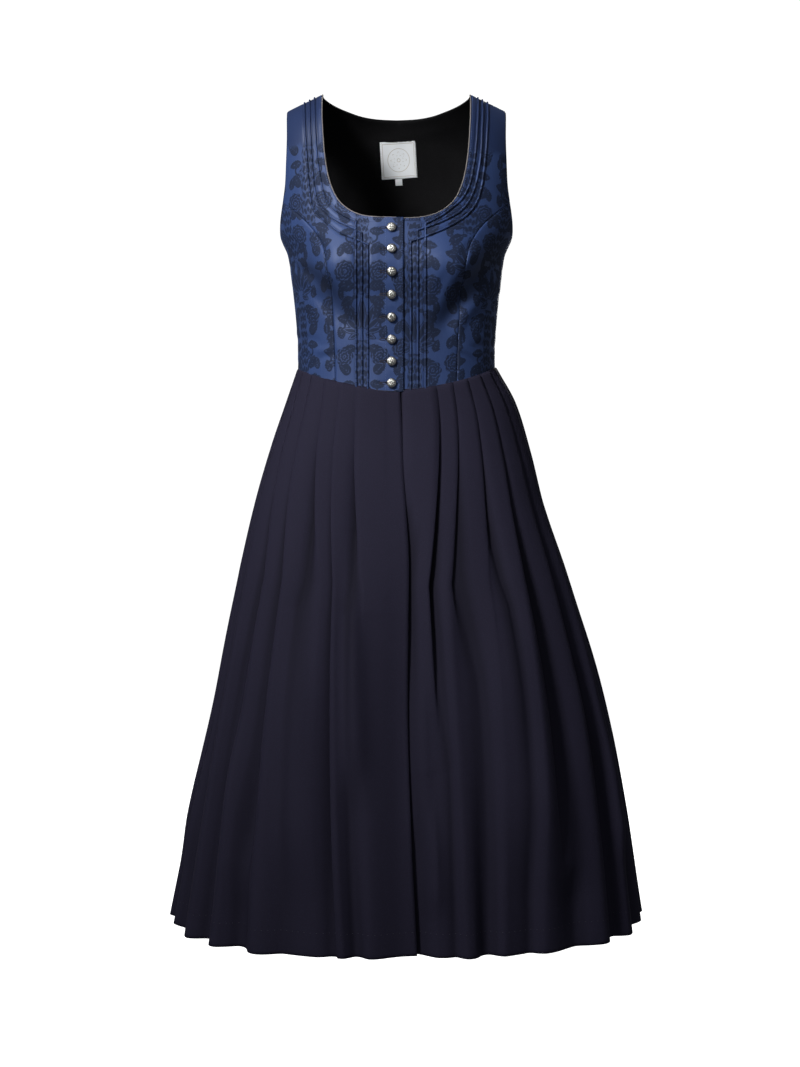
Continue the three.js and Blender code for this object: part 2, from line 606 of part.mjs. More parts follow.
function addButtons() {
  for (let i = 0; i < BUTTON.count; i++) {
    const z = lerp(BUTTON.topZ, BUTTON.bottomZ, i / (BUTTON.count - 1));
    const lift = CLOTH / 2 + PLACKET.lift + BUTTON.lift;
    const { point, normal } = onFront(BUTTON.x, z, lift);
    const turn = new THREE.Quaternion().setFromUnitVectors(new THREE.Vector3(0, 1, 0), normal);
    const bare = buttonGeometry();
    bare.deleteAttribute('normal');
    bare.deleteAttribute('uv');
    const geometry = facingOut(mergeVertices(bare, WELD));
    const mesh = new THREE.Mesh(geometry, new THREE.MeshStandardMaterial(COLOURS.silver));
    mesh.name = `button_${i + 1}`;
    mesh.position.copy(point);
    mesh.quaternion.copy(turn);
    part.add(mesh);
  }
}

// Label and size tab: small walls on the lining's inside, a little askew
function labelGrid(centreX, topZ, width, height) {
  const rows = [];
  for (let i = 0; i <= LABEL.cells; i++) {
    const row = [];
    for (let j = 0; j <= LABEL.cells; j++) {
      const alongX = (j / LABEL.cells - 0.5) * width;
      const down = i / LABEL.cells * height;
      const x = centreX + alongX + down * LABEL.lean;
      const z = topZ - down + alongX * LABEL.lean;
      const angle = torsoAngle(Math.abs(x), z, true);
      row.push(torsoPoint(Math.sign(x) || 1, angle, z));
    }
    rows.push(row);
  }
  return rows;
}

// Arc length round one half of a skirt section, as a table of angle and length
function skirtSection(side, fall) {
  const size = (column) => smooth(SKIRT, 'fall', column, fall);
  const sizes = { right: size('right'), left: size('left'), front: size('front'), back: size('back') };
  const at = (degrees) => {
    const t = THREE.MathUtils.degToRad(degrees);
    const squarer = 1 + SQUARENESS * Math.sin(2 * t) ** 2;
    const wide = side * Math.sin(t) < 0 ? sizes.right : sizes.left;
    const deep = Math.cos(t) > 0 ? sizes.front : sizes.back;
    return new THREE.Vector2(side * wide * squarer * Math.sin(t), -deep * squarer * Math.cos(t));
  };
  const table = [];
  let length = 0;
  for (let degrees = 0; degrees <= 180; degrees += 1) {
    if (degrees > 0) length += at(degrees).distanceTo(at(degrees - 1));
    table.push(length);
  }
  const angle = (arc) => {
    if (arc <= 0) return arc / table[1];
    let i = 1;
    while (i < 180 && table[i] < arc) i++;
    return i - 1 + (arc - table[i - 1]) / (table[i] - table[i - 1]);
  };
  const arcAtX = (x) => {
    let i = 1;
    while (i < 90 && Math.abs(at(i).x) < x) i++;
    const low = Math.abs(at(i - 1).x);
    return lerp(table[i - 1], table[i], clamp((x - low) / (Math.abs(at(i).x) - low), 0, 1));
  };
  return { at, angle, arcAtX, half: table[180] };
}

// A fold's place at the waist, knee and hem, as arc length from the centre front
function foldPlaces(side, folds) {
  const waist = skirtSection(side, 0);
  const knee = skirtSection(side, KNEE_FALL);
  const hem = skirtSection(side, 1);
  const places = folds.map((fold, k) => ({
    ...fold,
    waistArc: PLEAT.first + k * PLEAT.pitch,
    kneeArc: knee.arcAtX(fold.knee),
    hemArc: hem.arcAtX(fold.hem),
  }));
  const start = places[places.length - 1];
  const count = PLEAT.perSide - folds.length;
  for (let k = 1; k <= count; k++) {
    const kind = FOLDS_ROUND[k % FOLDS_ROUND.length];
    const q = k / (count + BACK_FOLDS.lastShare);
    places.push({
      ...kind,
      waistArc: PLEAT.first + (k + folds.length - 1) * PLEAT.pitch,
      kneeArc: lerp(start.kneeArc, knee.half, q) + kind.drift,
      hemArc: lerp(start.hemArc, hem.half, q) + kind.drift * BACK_FOLDS.hemDrift,
    });
  }
  places.forEach((place) => { place.waistShare = place.waistArc / waist.half; });
  return places;
}

// Fold position and depth at a fall; from waist to knee the fold drifts smoothly, then on to the hem
function foldAt(place, fall, half) {
  const knee = place.kneeArc / half.knee;
  const hem = place.hemArc / half.hem;
  const share = fall < KNEE_FALL
    ? lerp(place.waistShare, knee, fall / KNEE_FALL)
    : lerp(knee, hem, (fall - KNEE_FALL) / (1 - KNEE_FALL));
  const depths = [
    { fall: 0, depth: PLEAT.leastDepth },
    { fall: KNEE_FALL, depth: place.kneeDepth },
    { fall: LOW_FALL, depth: place.lowDepth },
    { fall: 1, depth: place.hemDepth },
  ];
  let i = 0;
  while (i < depths.length - 2 && depths[i + 1].fall < fall) i++;
  const q = (fall - depths[i].fall) / (depths[i + 1].fall - depths[i].fall);
  return { share, depth: lerp(depths[i].depth, depths[i + 1].depth, q) };
}

// One skirt section of a half: a list of arc length and height off the section, from the centre front
// to the centre back. A closed pleat is a Z of three layers, an open one a soft wave.
function skirtProfile(side, places, fall, section, halves) {
  const edge = (column) => smooth(SKIRT_EDGE, 'fall', column, fall);
  const settle = PLEAT.shift * (1 - fall);
  const profile = [];
  const startArc = side < 0 ? -edge('x') : -CENTRE.underlap;
  const startHeight = CENTRE.height - (side < 0 ? 0 : edge('behind') + CENTRE.clearance);
  profile.push({ arc: startArc, height: startHeight });
  let lastArc = startArc;
  let lastHeight = startHeight;
  places.forEach((place, k) => {
    const { share, depth: wanted } = foldAt(place, fall, halves);
    const arc = share * section.half;
    const following = k < places.length - 1 ? foldAt(places[k + 1], fall, halves).share : BACK_FOLDS.pastLast;
    const pitch = following * section.half - arc;
    const opened = clamp(fall / place.opens, 0, 2);
    const reach = opened < 1
      ? -Math.min(PLEAT.underlap, pitch * OPENING.closedReach) * (1 - opened)
      : pitch * OPENING.openReach * Math.min(1, (opened - 1) * OPENING.rate + OPENING.start);
    const spread = ease(clamp(fall / TURN.fullFall, 0, 1)) * Math.min(TURN.widest, pitch * TURN.ofPitch);
    const needed = reach < 0 ? (FACE.layers * PLEAT.layer * (pitch - reach)) / pitch : 0;
    const depth = Math.max(wanted, needed, opened < OPENING.keepDepth ? PLEAT.leastDepth : 0);
    const top = depth / 2;
    const layer = Math.min(PLEAT.layer + spread * TURN.layerGrowth, depth * TURN.ofDepth);
    const face = (share, rise) => ({
      arc: lerp(lastArc, arc - spread, share),
      height: lerp(lastHeight, top, rise),
    });
    if (k === 0) profile.push(face(FACE.first, FACE.first));
    const second = face(FACE.second, FACE.rise);
    second.height += Math.max(0, reach) * FACE.reachRise;
    profile.push(second);
    profile.push({ arc: arc - spread, height: top });
    profile.push({ arc: arc + spread * TURN.inside, height: top - layer });
    profile.push({ arc: arc + reach - spread * TURN.inside, height: layer - top });
    profile.push({ arc: arc + reach + spread, height: -top });
    lastArc = arc + reach + spread;
    lastHeight = -top;
  });
  profile.push({ arc: lerp(lastArc, section.half, FACE.second), height: 0 });
  profile.push({ arc: section.half, height: CENTRE.backHeight });
  return profile.map(({ arc, height }) => ({ arc, height: height + settle }));
}

// Columns of one half of the skirt, each a list of points from the waist seam to the hem
function skirtHalf(side) {
  const places = foldPlaces(side, side < 0 ? FOLDS_RIGHT : FOLDS_LEFT);
  const halves = { knee: skirtSection(side, KNEE_FALL).half, hem: skirtSection(side, 1).half };
  return SKIRT_FALLS.map((fall) => {
    const section = skirtSection(side, fall);
    return skirtProfile(side, places, fall, section, halves).map(({ arc, height }) => {
      const degrees = section.angle(arc);
      const point = section.at(degrees);
      const along = section.at(degrees + STEP_DEGREES).sub(section.at(degrees - STEP_DEGREES)).normalize();
      const outward = new THREE.Vector2(along.y, -along.x).multiplyScalar(side);
      point.addScaledVector(outward, height);
      const top = waistZ(degrees) - WAIST.gap;
      return new THREE.Vector3(point.x, point.y, lerp(top, HEM_Z, fall));
    });
  });
}

// Columns of a grid from one to another, with a new last or first column at a share of the next face
function sliceColumns(grid, from, to, startShare = 0, endShare = 0) {
  return grid.map((row) => {
    const cut = row.slice(from, to + 1);
    if (startShare) cut[0] = row[from].clone().lerp(row[from + 1], startShare);
    if (endShare) cut.push(row[to].clone().lerp(row[to + 1], endShare));
    return cut;
  });
}

function addSkirt() {
  const right = skirtHalf(-1);
  const left = skirtHalf(1);
  const seam = 1 + FRONT_PLEATS * COLUMNS_PER_PLEAT;
  const fronts = { skirt_front_right: right, skirt_front_left: left };
  for (const [name, half] of Object.entries(fronts)) {
    addNode(name, gridWall(sliceColumns(half, 0, seam, 0, SIDE_SEAM.frontEnd), SKIRT_CLOTH), COLOURS.skirt);
  }
  const backRight = sliceColumns(right, seam, right[0].length - 1, SIDE_SEAM.backStart);
  const backLeft = sliceColumns(left, seam, left[0].length - 2, SIDE_SEAM.backStart);
  const back = backRight.map((row, i) => [...row, ...backLeft[i].slice().reverse()]);
  addNode('skirt_back', gridWall(back, SKIRT_CLOTH), COLOURS.skirt);
}

function addBodice() {
  const right = frontPanel(-1, -PLACKET.edge);
  addNode('bodice_front_right', panelWall(right, CLOTH, placketOffset), COLOURS.damask);
  addNode('bodice_front_left', panelWall(frontPanel(1, PLACKET.under), CLOTH), COLOURS.damask);
  for (const [name, side] of [['right', -1], ['left', 1]]) {
    addNode(`bodice_side_front_${name}`, panelWall(sideFrontPanel(side), CLOTH), COLOURS.damask);
    addNode(`bodice_side_back_${name}`, panelWall(sideBackPanel(side), CLOTH), COLOURS.damask);
  }
  addNode('bodice_back', backWall(backPrincess(), COLUMNS.back, CLOTH, 0), COLOURS.damask);
}

// The lining of the centre back is made from the same points, moved in
function addLining() {
  const offset = -CLOTH / 2 - SEAM_GAP - LINING / 2;
  addNode('lining_back', backWall(backPrincess(), COLUMNS.back, LINING, offset), COLOURS.lining);
  const onLining = offset - LINING / 2 - LABEL.gap - LABEL.thickness / 2;
  const topZ = LABEL.z + LABEL.height / 2;
  const pieces = {
    label: labelGrid(LABEL.x, topZ, LABEL.width, LABEL.height),
    size_tab: labelGrid(SIZE_TAB.x, topZ - LABEL.height - SEAM_GAP, SIZE_TAB.width, SIZE_TAB.height),
  };
  for (const [name, grid] of Object.entries(pieces)) {
    addNode(name, gridWall(grid, LABEL.thickness, () => onLining), COLOURS.label);
  }
}

addBodice();
addLining();
addSkirt();
addButtons();
addNode('tucks_right', tuckSet(-1, NECK_TUCKS_RIGHT, UPRIGHT_TUCKS_RIGHT), COLOURS.damask);
addNode('tucks_left', tuckSet(1, NECK_TUCKS_LEFT, UPRIGHT_TUCKS_LEFT), COLOURS.damask);

export default part;
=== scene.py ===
"""Dirndl: a damask bodice with domed silver buttons and corded tucks, over a pleated navy skirt.

Shapes are worked out in millimetres in the frame's own axes (front at -Y, +Z up, origin midway between the
shoulders) and turned into metres when a mesh is made. "right" is the wearer's right, at -X.
"""

import math

import bpy
import numpy as np
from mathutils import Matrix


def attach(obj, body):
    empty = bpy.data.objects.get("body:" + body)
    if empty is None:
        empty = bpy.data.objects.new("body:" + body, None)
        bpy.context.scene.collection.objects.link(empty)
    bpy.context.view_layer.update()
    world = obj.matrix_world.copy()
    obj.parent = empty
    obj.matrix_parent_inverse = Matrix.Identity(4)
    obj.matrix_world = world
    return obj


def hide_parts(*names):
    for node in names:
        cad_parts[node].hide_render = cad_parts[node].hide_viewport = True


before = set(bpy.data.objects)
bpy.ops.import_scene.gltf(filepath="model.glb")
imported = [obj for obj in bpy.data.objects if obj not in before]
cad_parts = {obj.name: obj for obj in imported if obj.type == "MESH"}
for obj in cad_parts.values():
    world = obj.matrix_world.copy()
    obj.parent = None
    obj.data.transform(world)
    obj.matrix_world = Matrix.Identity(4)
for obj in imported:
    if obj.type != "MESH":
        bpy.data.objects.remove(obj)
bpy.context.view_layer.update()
root = bpy.context.scene.collection
bpy.context.scene.view_settings.view_transform = "Standard"

MM = 0.001
CLOTH = 1.2
SKIRT_CLOTH = 1.0
SHOULDER = dict(neck_x=100, neck_z=13, slope=0.45, round=70, edge_drop=0.0005)
WAIST = dict(side_z=-362, front_dip=37.5, back_dip=10, gap=0.5)
UNDERARM_Z = -179.5
HEM_Z = -1100
SQUARENESS = 0.05
PLACKET = dict(edge=10, under=-16, lift=2.4, ramp_from=-46, ramp_to=-22)
BUTTON = dict(count=8, x=-6, top_z=-188, bottom_z=-388, radius=6.2, height=4.6, lift=0.35)
LABEL = dict(x=1.5, z=-53.5, width=51, height=50, lean=0.06)
SIZE_TAB = dict(x=3, width=10, height=9)
BUST = dict(x=78, z=-228, rise=14, across_x=42, across_z=38)
HOLLOW = dict(from_x=135, from_z=-218, to_x=66, to_z=-306, depth=5, width=14)
PLEAT = dict(per_side=14, first=53, pitch=22.3, layer=1.6, underlap=18, least_depth=6.2, stack_shift=-1.5)

# Torso sections: height, half width, depth in front of and behind the shoulder line
TORSO = dict(
    z=[-402, -362, -325, -280, -238, -205, -180, -140, -90, -40, 20],
    half_width=[134, 134, 134.5, 138, 143, 148, 158, 162, 165, 167, 168],
    front=[95, 97, 101, 110, 118, 113.5, 107.5, 100, 95, 90, 85],
    back=[91, 92, 95, 100, 105, 108, 107, 104, 96, 82, 62],
)
# Skirt sections: fraction of the way from the waist seam to the hem, half widths and depths
SKIRT = dict(
    fall=[0, 0.06, 0.15, 0.25, 0.42, 0.61, 0.8, 1],
    right=[134, 149, 171, 190, 215, 242, 271, 300],
    left=[137, 161, 181, 199, 239, 279, 306, 329],
    front=[97, 108, 129, 152, 187, 217, 240, 256],
    back=[93, 102, 117, 135, 163, 188, 208, 224],
)
# Front folds from the centre out: place at waist, knee and hem, where each opens, and its depths
FOLDS_RIGHT = dict(
    knee=[42, 78, 98, 141, 168],
    hem=[30, 68, 105, 172, 226],
    opens=[0.26, 0.85, 0.26, 0.56, 0.34],
    hip_depth=[8, 12, 8, 12, 9],
    knee_depth=[5, 15, 5, 17, 9],
    low_depth=[3, 16, 4, 22, 15],
    hem_depth=[14, 9, 5, 22, 22],
)
FOLDS_LEFT = dict(
    knee=[40, 68, 118, 158, 196],
    hem=[54, 92, 138, 190, 262],
    opens=[0.43, 0.34, 0.26, 0.56, 0.43],
    hip_depth=[15, 7, 6.5, 9, 8],
    knee_depth=[15, 7, 7, 20, 15],
    low_depth=[4, 10, 8, 20, 18],
    hem_depth=[5, 18, 7, 14, 16],
)
# Depths of the folds at the sides and back, used in turn
FOLDS_ROUND = dict(
    opens=[0.43, 0.56, 0.34, 0.56],
    hip_depth=[7, 9, 6.5, 8.5],
    knee_depth=[10, 19, 7, 16],
    low_depth=[9, 21, 6, 17],
    hem_depth=[8, 16, 6, 13],
    drift=[4, -5, 3, -3],
)
SKIRT_EDGE = dict(
    fall=[0, 0.15, 0.3, 0.42, 0.6, 0.8, 1],
    x=[5, 9, 15, 14, 13, 17, 24],
    behind=[4, 4, 11, 12, 6, 9, 16],
)
# Bodice edges from the waist up, as x and z on the outside of the body
FRONT_NECK = dict(
    x=[0, 28, 48, 63, 75, 83, 89, 94, 97.5, 100],
    z=[-173.5, -172.5, -168, -160, -148.5, -134, -116, -88, -45, 13],
)
BACK_NECK = dict(x=[0, 30, 50, 66, 84, 100], z=[-1.5, -1, 1, 4.2, 8.3, 13])
FRONT_ARMHOLE = dict(x=[153, 149.5, 148, 147, 149], z=[-140, -118, -90, -55, -9.05])
BACK_ARMHOLE = dict(x=[152, 147, 144.5, 145, 149], z=[-140, -118, -90, -55, -9.05])
FRONT_PRINCESS = dict(
    x=[80, 81, 83, 86, 91, 98, 110, 128, 153],
    z=[-389, -345, -300, -262, -228, -205, -184, -164, -140],
)
BACK_PRINCESS = dict(x=[46, 50, 58, 70, 88, 116, 152], z=[-370, -330, -285, -240, -200, -164, -140])
# Neck tucks from the shoulder to the upright tuck that each one meets
NECK_TUCKS = {
    -1: [
        dict(x=[110.5, 107, 104, 98, 93, 83, 70, 52.5], z=[5, -45, -90, -125, -145, -158, -168.5, -178]),
        dict(x=[117, 114, 111.5, 108, 103, 91, 77.7, 60, 44.7],
             z=[2, -45, -90, -125, -148, -165, -176, -185.5, -195]),
        dict(x=[124, 121, 118, 114.5, 110, 100, 88, 73, 56.8, 37],
             z=[-1, -45, -90, -130, -155, -168, -181, -193, -201, -211]),
    ],
    1: [
        dict(x=[110, 107, 103, 96, 86, 73, 57, 38], z=[5, -45, -90, -125, -145, -158, -171, -181.5]),
        dict(x=[116, 113.5, 110.5, 104, 96, 84, 70, 50, 28],
             z=[2, -45, -90, -125, -146, -162, -172, -182, -190.5]),
        dict(x=[123, 120.5, 117, 112, 104.5, 92, 73, 46, 19],
             z=[-1, -45, -90, -126, -150, -167, -182, -196, -206]),
    ],
}
UPRIGHT_TUCKS = {
    -1: dict(x=[52.5, 44.7, 37], top_z=[-177, -194, -210]),
    1: dict(x=[38, 28, 19], top_z=[-180.5, -189.5, -205]),
}
# Soft creases of the bodice: middle, slope in degrees, half length, half width and depth in millimetres
CREASES = dict(
    x=[-121, -104, -126, -96, 112, 128, 104, 96, -118, 122, -60, 58, 92, -98, -86, 95],
    z=[-238, -276, -322, -352, -246, -268, -300, -352, -348, -330, -250, -262, -214, -206, -270, -258],
    slope=[-38, -46, -12, 20, 42, 30, 48, -22, 8, 14, -62, 64, 58, -55, -49, 53],
    length=[26, 30, 22, 20, 30, 24, 26, 20, 18, 20, 24, 26, 20, 18, 42, 56],
    width=[6, 7, 5, 5, 7, 5, 7, 5, 4, 5, 6, 6, 5, 5, 11, 13],
    depth=[1.6, 1.8, 1.0, 1.1, 2.0, 1.4, 1.6, 1.0, 0.8, 1.0, 0.9, 0.9, 0.9, 0.9, 2.6, 3.2],
)
# Broad rounded ridges low on the skirt: line from top to bottom, half width and height
RIDGES = dict(
    top_x=[-126, -200, -56, 30, 44, 126, 204, -262, 262],
    top_z=[-600, -790, -560, -700, -900, -540, -850, -760, -780],
    low_x=[-121, -196, -50, 33, 47, 172, 222, -278, 288],
    low_z=[-1016, -1042, -900, -960, -1048, -992, -1024, -1010, -1000],
    width=[26, 17, 15, 11, 12, 32, 17, 15, 16],
    height=[15, 10, 14, 10, 7, 17, 10, 6, 6],
)


# Tables, curves and the body's surface
def rows_of(table):
    """A table's rows, each a dict by column name."""
    return [dict(zip(table, values)) for values in zip(*table.values())]


def ease(q):
    return q * q * (3 - 2 * q)


def lerp(a, b, q):
    return a + (b - a) * q


def smooth(table, key, column, at):
    """A cubic through a table's rows with finite-difference slopes."""
    xs = np.array(table[key], float)
    ys = np.array(table[column], float)
    at = np.asarray(at, float)
    i = np.clip(np.searchsorted(xs, at, side="right") - 1, 0, len(xs) - 2)
    slope = np.gradient(ys)
    slope[1:-1] = (ys[2:] - ys[:-2]) / (xs[2:] - xs[:-2])
    slope[0] = (ys[1] - ys[0]) / (xs[1] - xs[0])
    slope[-1] = (ys[-1] - ys[-2]) / (xs[-1] - xs[-2])
    width = xs[i + 1] - xs[i]
    q = np.clip((at - xs[i]) / width, 0, 1)
    return (
        (2 * q**3 - 3 * q**2 + 1) * ys[i]
        + (q**3 - 2 * q**2 + q) * width * slope[i]
        + (3 * q**2 - 2 * q**3) * ys[i + 1]
        + (q**3 - q**2) * width * slope[i + 1]
    )


def through(points, steps, softness=1.0):
    """A curve through points, rows of coordinates, with 'steps' places in each stretch."""
    p = np.asarray(points, float)
    p = np.vstack([2 * p[0] - p[1], p, 2 * p[-1] - p[-2]])
    gap = np.maximum(np.linalg.norm(np.diff(p, axis=0), axis=1), 1e-6) ** 0.5
    before, here, after = gap[:-2, None], gap[1:-1, None], gap[2:, None]
    a, b, c, d = p[:-3], p[1:-2], p[2:-1], p[3:]
    start = ((b - a) / before - (c - a) / (before + here) + (c - b) / here) * here
    end = ((c - b) / here - (d - b) / (here + after) + (d - c) / after) * here
    start = lerp(c - b, start, softness)
    end = lerp(c - b, end, softness)
    q = np.linspace(0, 1, steps, endpoint=False)[None, :, None]
    curve = (
        (2 * q**3 - 3 * q**2 + 1) * b[:, None]
        + (q**3 - 2 * q**2 + q) * start[:, None]
        + (3 * q**2 - 2 * q**3) * c[:, None]
        + (q**3 - q**2) * end[:, None]
    )
    return np.vstack([curve.reshape(-1, p.shape[1]), p[-2:-1]])


def run_length(path):
    """Length along a path at each of its points."""
    return np.concatenate([[0], np.cumsum(np.linalg.norm(np.diff(path, axis=0), axis=1))])


def sampled(at, run, rows):
    """Rows of values at given lengths along a path."""
    return np.column_stack([np.interp(at, run, rows[:, k]) for k in range(rows.shape[1])])


def along_edge(edge, count, spacing=lambda q: q):
    """x and z at count + 1 places by length on a smooth curve through an edge's rows."""
    curve = through(np.column_stack([edge["x"], edge["z"]]), EDGE_STEPS)
    length = run_length(curve)
    at = np.clip(spacing(np.linspace(0, 1, count + 1)), 0, 1) * length[-1]
    return np.interp(at, length, curve[:, 0]), np.interp(at, length, curve[:, 1])


def shoulder_height(x):
    return SHOULDER["neck_z"] - (x - SHOULDER["neck_x"]) * SHOULDER["slope"]


def front_relief(x, z):
    """Bust shaping and the soft hollow that runs down below it."""
    across = (x - BUST["x"]) / BUST["across_x"]
    down = (z - BUST["z"]) / BUST["across_z"]
    run_x = HOLLOW["to_x"] - HOLLOW["from_x"]
    run_z = HOLLOW["to_z"] - HOLLOW["from_z"]
    off_x = x - HOLLOW["from_x"]
    off_z = z - HOLLOW["from_z"]
    along = np.clip((off_x * run_x + off_z * run_z) / (run_x**2 + run_z**2), 0, 1)
    off = np.hypot(off_x - run_x * along, off_z - run_z * along) / HOLLOW["width"]
    return BUST["rise"] * np.exp(-(across**2) - down**2) - HOLLOW["depth"] * np.exp(-(off**2))


# How fast the bust's relief begins from the side toward the front
RELIEF_FADE = 2.5


def torso_point(side, degrees, z):
    """Point on the body, by angle from the centre front (0) to the centre back (180 degrees)."""
    degrees, z = np.broadcast_arrays(np.asarray(degrees, float), np.asarray(z, float))
    t = np.radians(degrees)
    squarer = 1 + SQUARENESS * np.sin(2 * t) ** 2
    x = smooth(TORSO, "z", "half_width", z) * squarer * np.sin(t)
    near_top = np.clip(1 - (shoulder_height(np.abs(x)) - z) / SHOULDER["round"], 0, 1)
    depth = np.where(np.cos(t) >= 0, smooth(TORSO, "z", "front", z), smooth(TORSO, "z", "back", z))
    fade = ease(np.clip(np.cos(t) * RELIEF_FADE, 0, 1))
    y = -depth * squarer * np.cos(t) * np.sqrt(1 - near_top**2) - front_relief(np.abs(x), z) * fade
    return np.stack([side * x, y, z], -1)


def torso_normal(side, degrees, z):
    point = torso_point(side, degrees, z)
    level = torso_point(side, degrees + 0.5, z)
    rise = shoulder_height(np.abs(level[..., 0])) - shoulder_height(np.abs(point[..., 0]))
    across = torso_point(side, degrees + 0.5, z + rise) - point
    down = torso_point(side, degrees, z - 0.5) - point
    normal = np.cross(down, across) * side
    return normal / np.linalg.norm(normal, axis=-1, keepdims=True)


def torso_angle(x, z, behind=False):
    """The angle at which the body has a given x at a height."""
    x, z = np.broadcast_arrays(np.asarray(x, float), np.asarray(z, float))
    low = np.zeros(x.shape)
    high = np.full(x.shape, 90.0)
    for _ in range(30):
        middle = (low + high) / 2
        short = torso_point(1, middle, z)[..., 0] < np.abs(x)
        low = np.where(short, middle, low)
        high = np.where(short, high, middle)
    angle = np.where(x < 0, -low, low)
    return 180 - angle if behind else angle


def torso_arc(from_degrees, degrees, z):
    """Length of cloth round the body at a height, between two angles."""
    share = np.linspace(0, 1, 20)
    turn = from_degrees + (degrees - from_degrees)[..., None] * share
    points = torso_point(1, turn, np.asarray(z)[..., None])
    steps = np.linalg.norm(np.diff(points[..., :2], axis=-2), axis=-1)
    return steps.sum(-1) * np.sign(degrees - from_degrees)


def waist_z(degrees):
    c = np.cos(np.radians(degrees))
    return WAIST["side_z"] - np.where(c > 0, WAIST["front_dip"], WAIST["back_dip"]) * c * c


def placket_offset(x):
    q = np.clip((x - PLACKET["ramp_from"]) / (PLACKET["ramp_to"] - PLACKET["ramp_from"]), 0, 1)
    return PLACKET["lift"] * ease(q)


def on_body(x, z, behind=False):
    """Points and normals of the body at world x and z, in front or behind."""
    side = np.where(x < 0, -1.0, 1.0)
    degrees = torso_angle(np.abs(x), z, behind)
    flip = np.stack([side, np.ones_like(side), np.ones_like(side)], -1)
    return torso_point(1, degrees, z) * flip, torso_normal(1, degrees, z) * flip


def on_front(x, z, lift):
    """Points and normals on the front at world x and z, moved out from the middle of the cloth."""
    x, z, lift = np.broadcast_arrays(*(np.asarray(v, float) for v in (x, z, lift)))
    points, normals = on_body(x, z)
    return points + normals * lift[..., None], normals


# The damask: signed distances in millimetres, positive inside a motif, from p across and q up the cloth
DESIGN_SCALE = 1.17
REPEAT = dict(across=64.0, up=168.0)


def petals(p, q, at_p, at_q, radius, count, swell):
    """A flower outline: a disc with rounded lobes."""
    angle = np.arctan2(q - at_q, p - at_p)
    away = np.hypot(p - at_p, q - at_q)
    return radius + swell * np.abs(np.cos(angle * count / 2)) - away


# A leaf's outline powers, its teeth and its veins; a tendril's tapering
LEAF_SHAPE = dict(
    place_power=0.8, half_power=0.7, tooth_slant=0.5, tooth_low=0.76, tooth_rise=0.36, foot=0.5,
    branches=5, branch_slant=0.9, branch_reach=0.7,
)
CURL_SHAPE = dict(wind=0.45, thick=1.15, taper=0.6, outside=-3)


def leaf(p, q, at_p, at_q, turn, length, width, teeth=0):
    """A pointed leaf from its stalk, with a toothed edge. Gives its outline, and its veins."""
    c, s = math.cos(math.radians(turn)), math.sin(math.radians(turn))
    along = (p - at_p) * c + (q - at_q) * s
    across = np.abs(-(p - at_p) * s + (q - at_q) * c)
    share = np.clip(along / length, 0, 1)
    shape = LEAF_SHAPE
    half = width * np.sin(np.pi * share ** shape["place_power"]) ** shape["half_power"]
    if teeth:
        saw = (share * teeth - across / length * teeth * shape["tooth_slant"]) % 1
        half = half * (shape["tooth_low"] + shape["tooth_rise"] * saw)
    edge = np.minimum(half - across, np.minimum(along + shape["foot"], length - along))
    branch = (along - across * shape["branch_slant"]) / (length / shape["branches"])
    rib = np.abs((branch % 1) - 0.5) * length / shape["branches"]
    rib = rib + np.maximum(0, across - half * shape["branch_reach"])
    return edge, np.minimum(across, rib)


def curl(p, q, at_p, at_q, radius, start, sweep, thick):
    """A tapering tendril that winds in as it goes round from a start angle."""
    angle = np.degrees(np.arctan2(q - at_q, p - at_p))
    gone = ((angle - start) * np.sign(sweep)) % 360
    share = gone / abs(sweep)
    shape = CURL_SHAPE
    track = radius * (1 - shape["wind"] * share)
    half = thick * (shape["thick"] - shape["taper"] * share)
    inside = half - np.abs(np.hypot(p - at_p, q - at_q) - track)
    return np.where(share <= 1, inside, shape["outside"])


# Parts of the design beside its axis: place, turn, length and width; fans are the palmette's plain leaves
LEAVES = dict(
    p=[8, 9, 11, 25, 15, 15, 8, 22, 14, 9, 25],
    q=[38, 26, 72, 70, 3, 2, -27, -18, -57, -68, 24],
    turn=[6, -24, 58, 104, 76, 14, -26, 70, 40, -12, 94],
    length=[19, 19, 17, 15, 18, 16, 19, 15, 17, 17, 15],
    width=[6.2, 5.8, 5.6, 4.8, 5.6, 5.2, 6.0, 5.0, 5.6, 5.2, 4.6],
)
FANS = dict(
    p=[0, 3, 5, 5.5, 4],
    q=[-8, -8, -9, -11, -13],
    turn=[90, 67, 42, 12, -26],
    length=[35, 31, 25, 19, 14],
    width=[5.0, 4.9, 4.5, 4.0, 3.5],
)
CURLS = dict(
    p=[10, 19, 7, 22, 12.5, 25],
    q=[-38, -54, -82, 13, 92, -4],
    radius=[8, 6.5, 7.5, 5, 7.5, 5],
    start=[180, 80, 200, 250, 160, 90],
    sweep=[-230, 240, -250, -240, 240, 230],
    thick=[1.6, 1.5, 1.5, 1.3, 1.5, 1.3],
)
ROSES = dict(p=[18.5, 20.5], q=[54, -38], radius=[10.4, 8.8], lobes=[9, 8])
LACE = dict(low=[-78, 30], high=[-20, 88], half=[6.5, 7.5])
LEAF_TEETH = 6
VEIN_THINNING = 0.42
FAN_LINE = dict(inset=1.6, thinning=0.05)
ROSE_RING = dict(swell=2.1, wave=1.5, twist=0.2, shift=1.2, spacing=3.5)
BERRIES = dict(count=3, across=6.6, q=32, down=4.2, radius=2.4, lobes=5, swell=0.9)
SCALLOP = dict(depth=1.8, length=13)
SCROLL = dict(line=2.0, turns=0.72, across=2.5, down=2.9, sway=4.2, bend=1.5, lean=0.9)
# Where nothing is woven: outside every motif, and far from every line
NO_MOTIF, NO_LINE = -20.0, 9.0


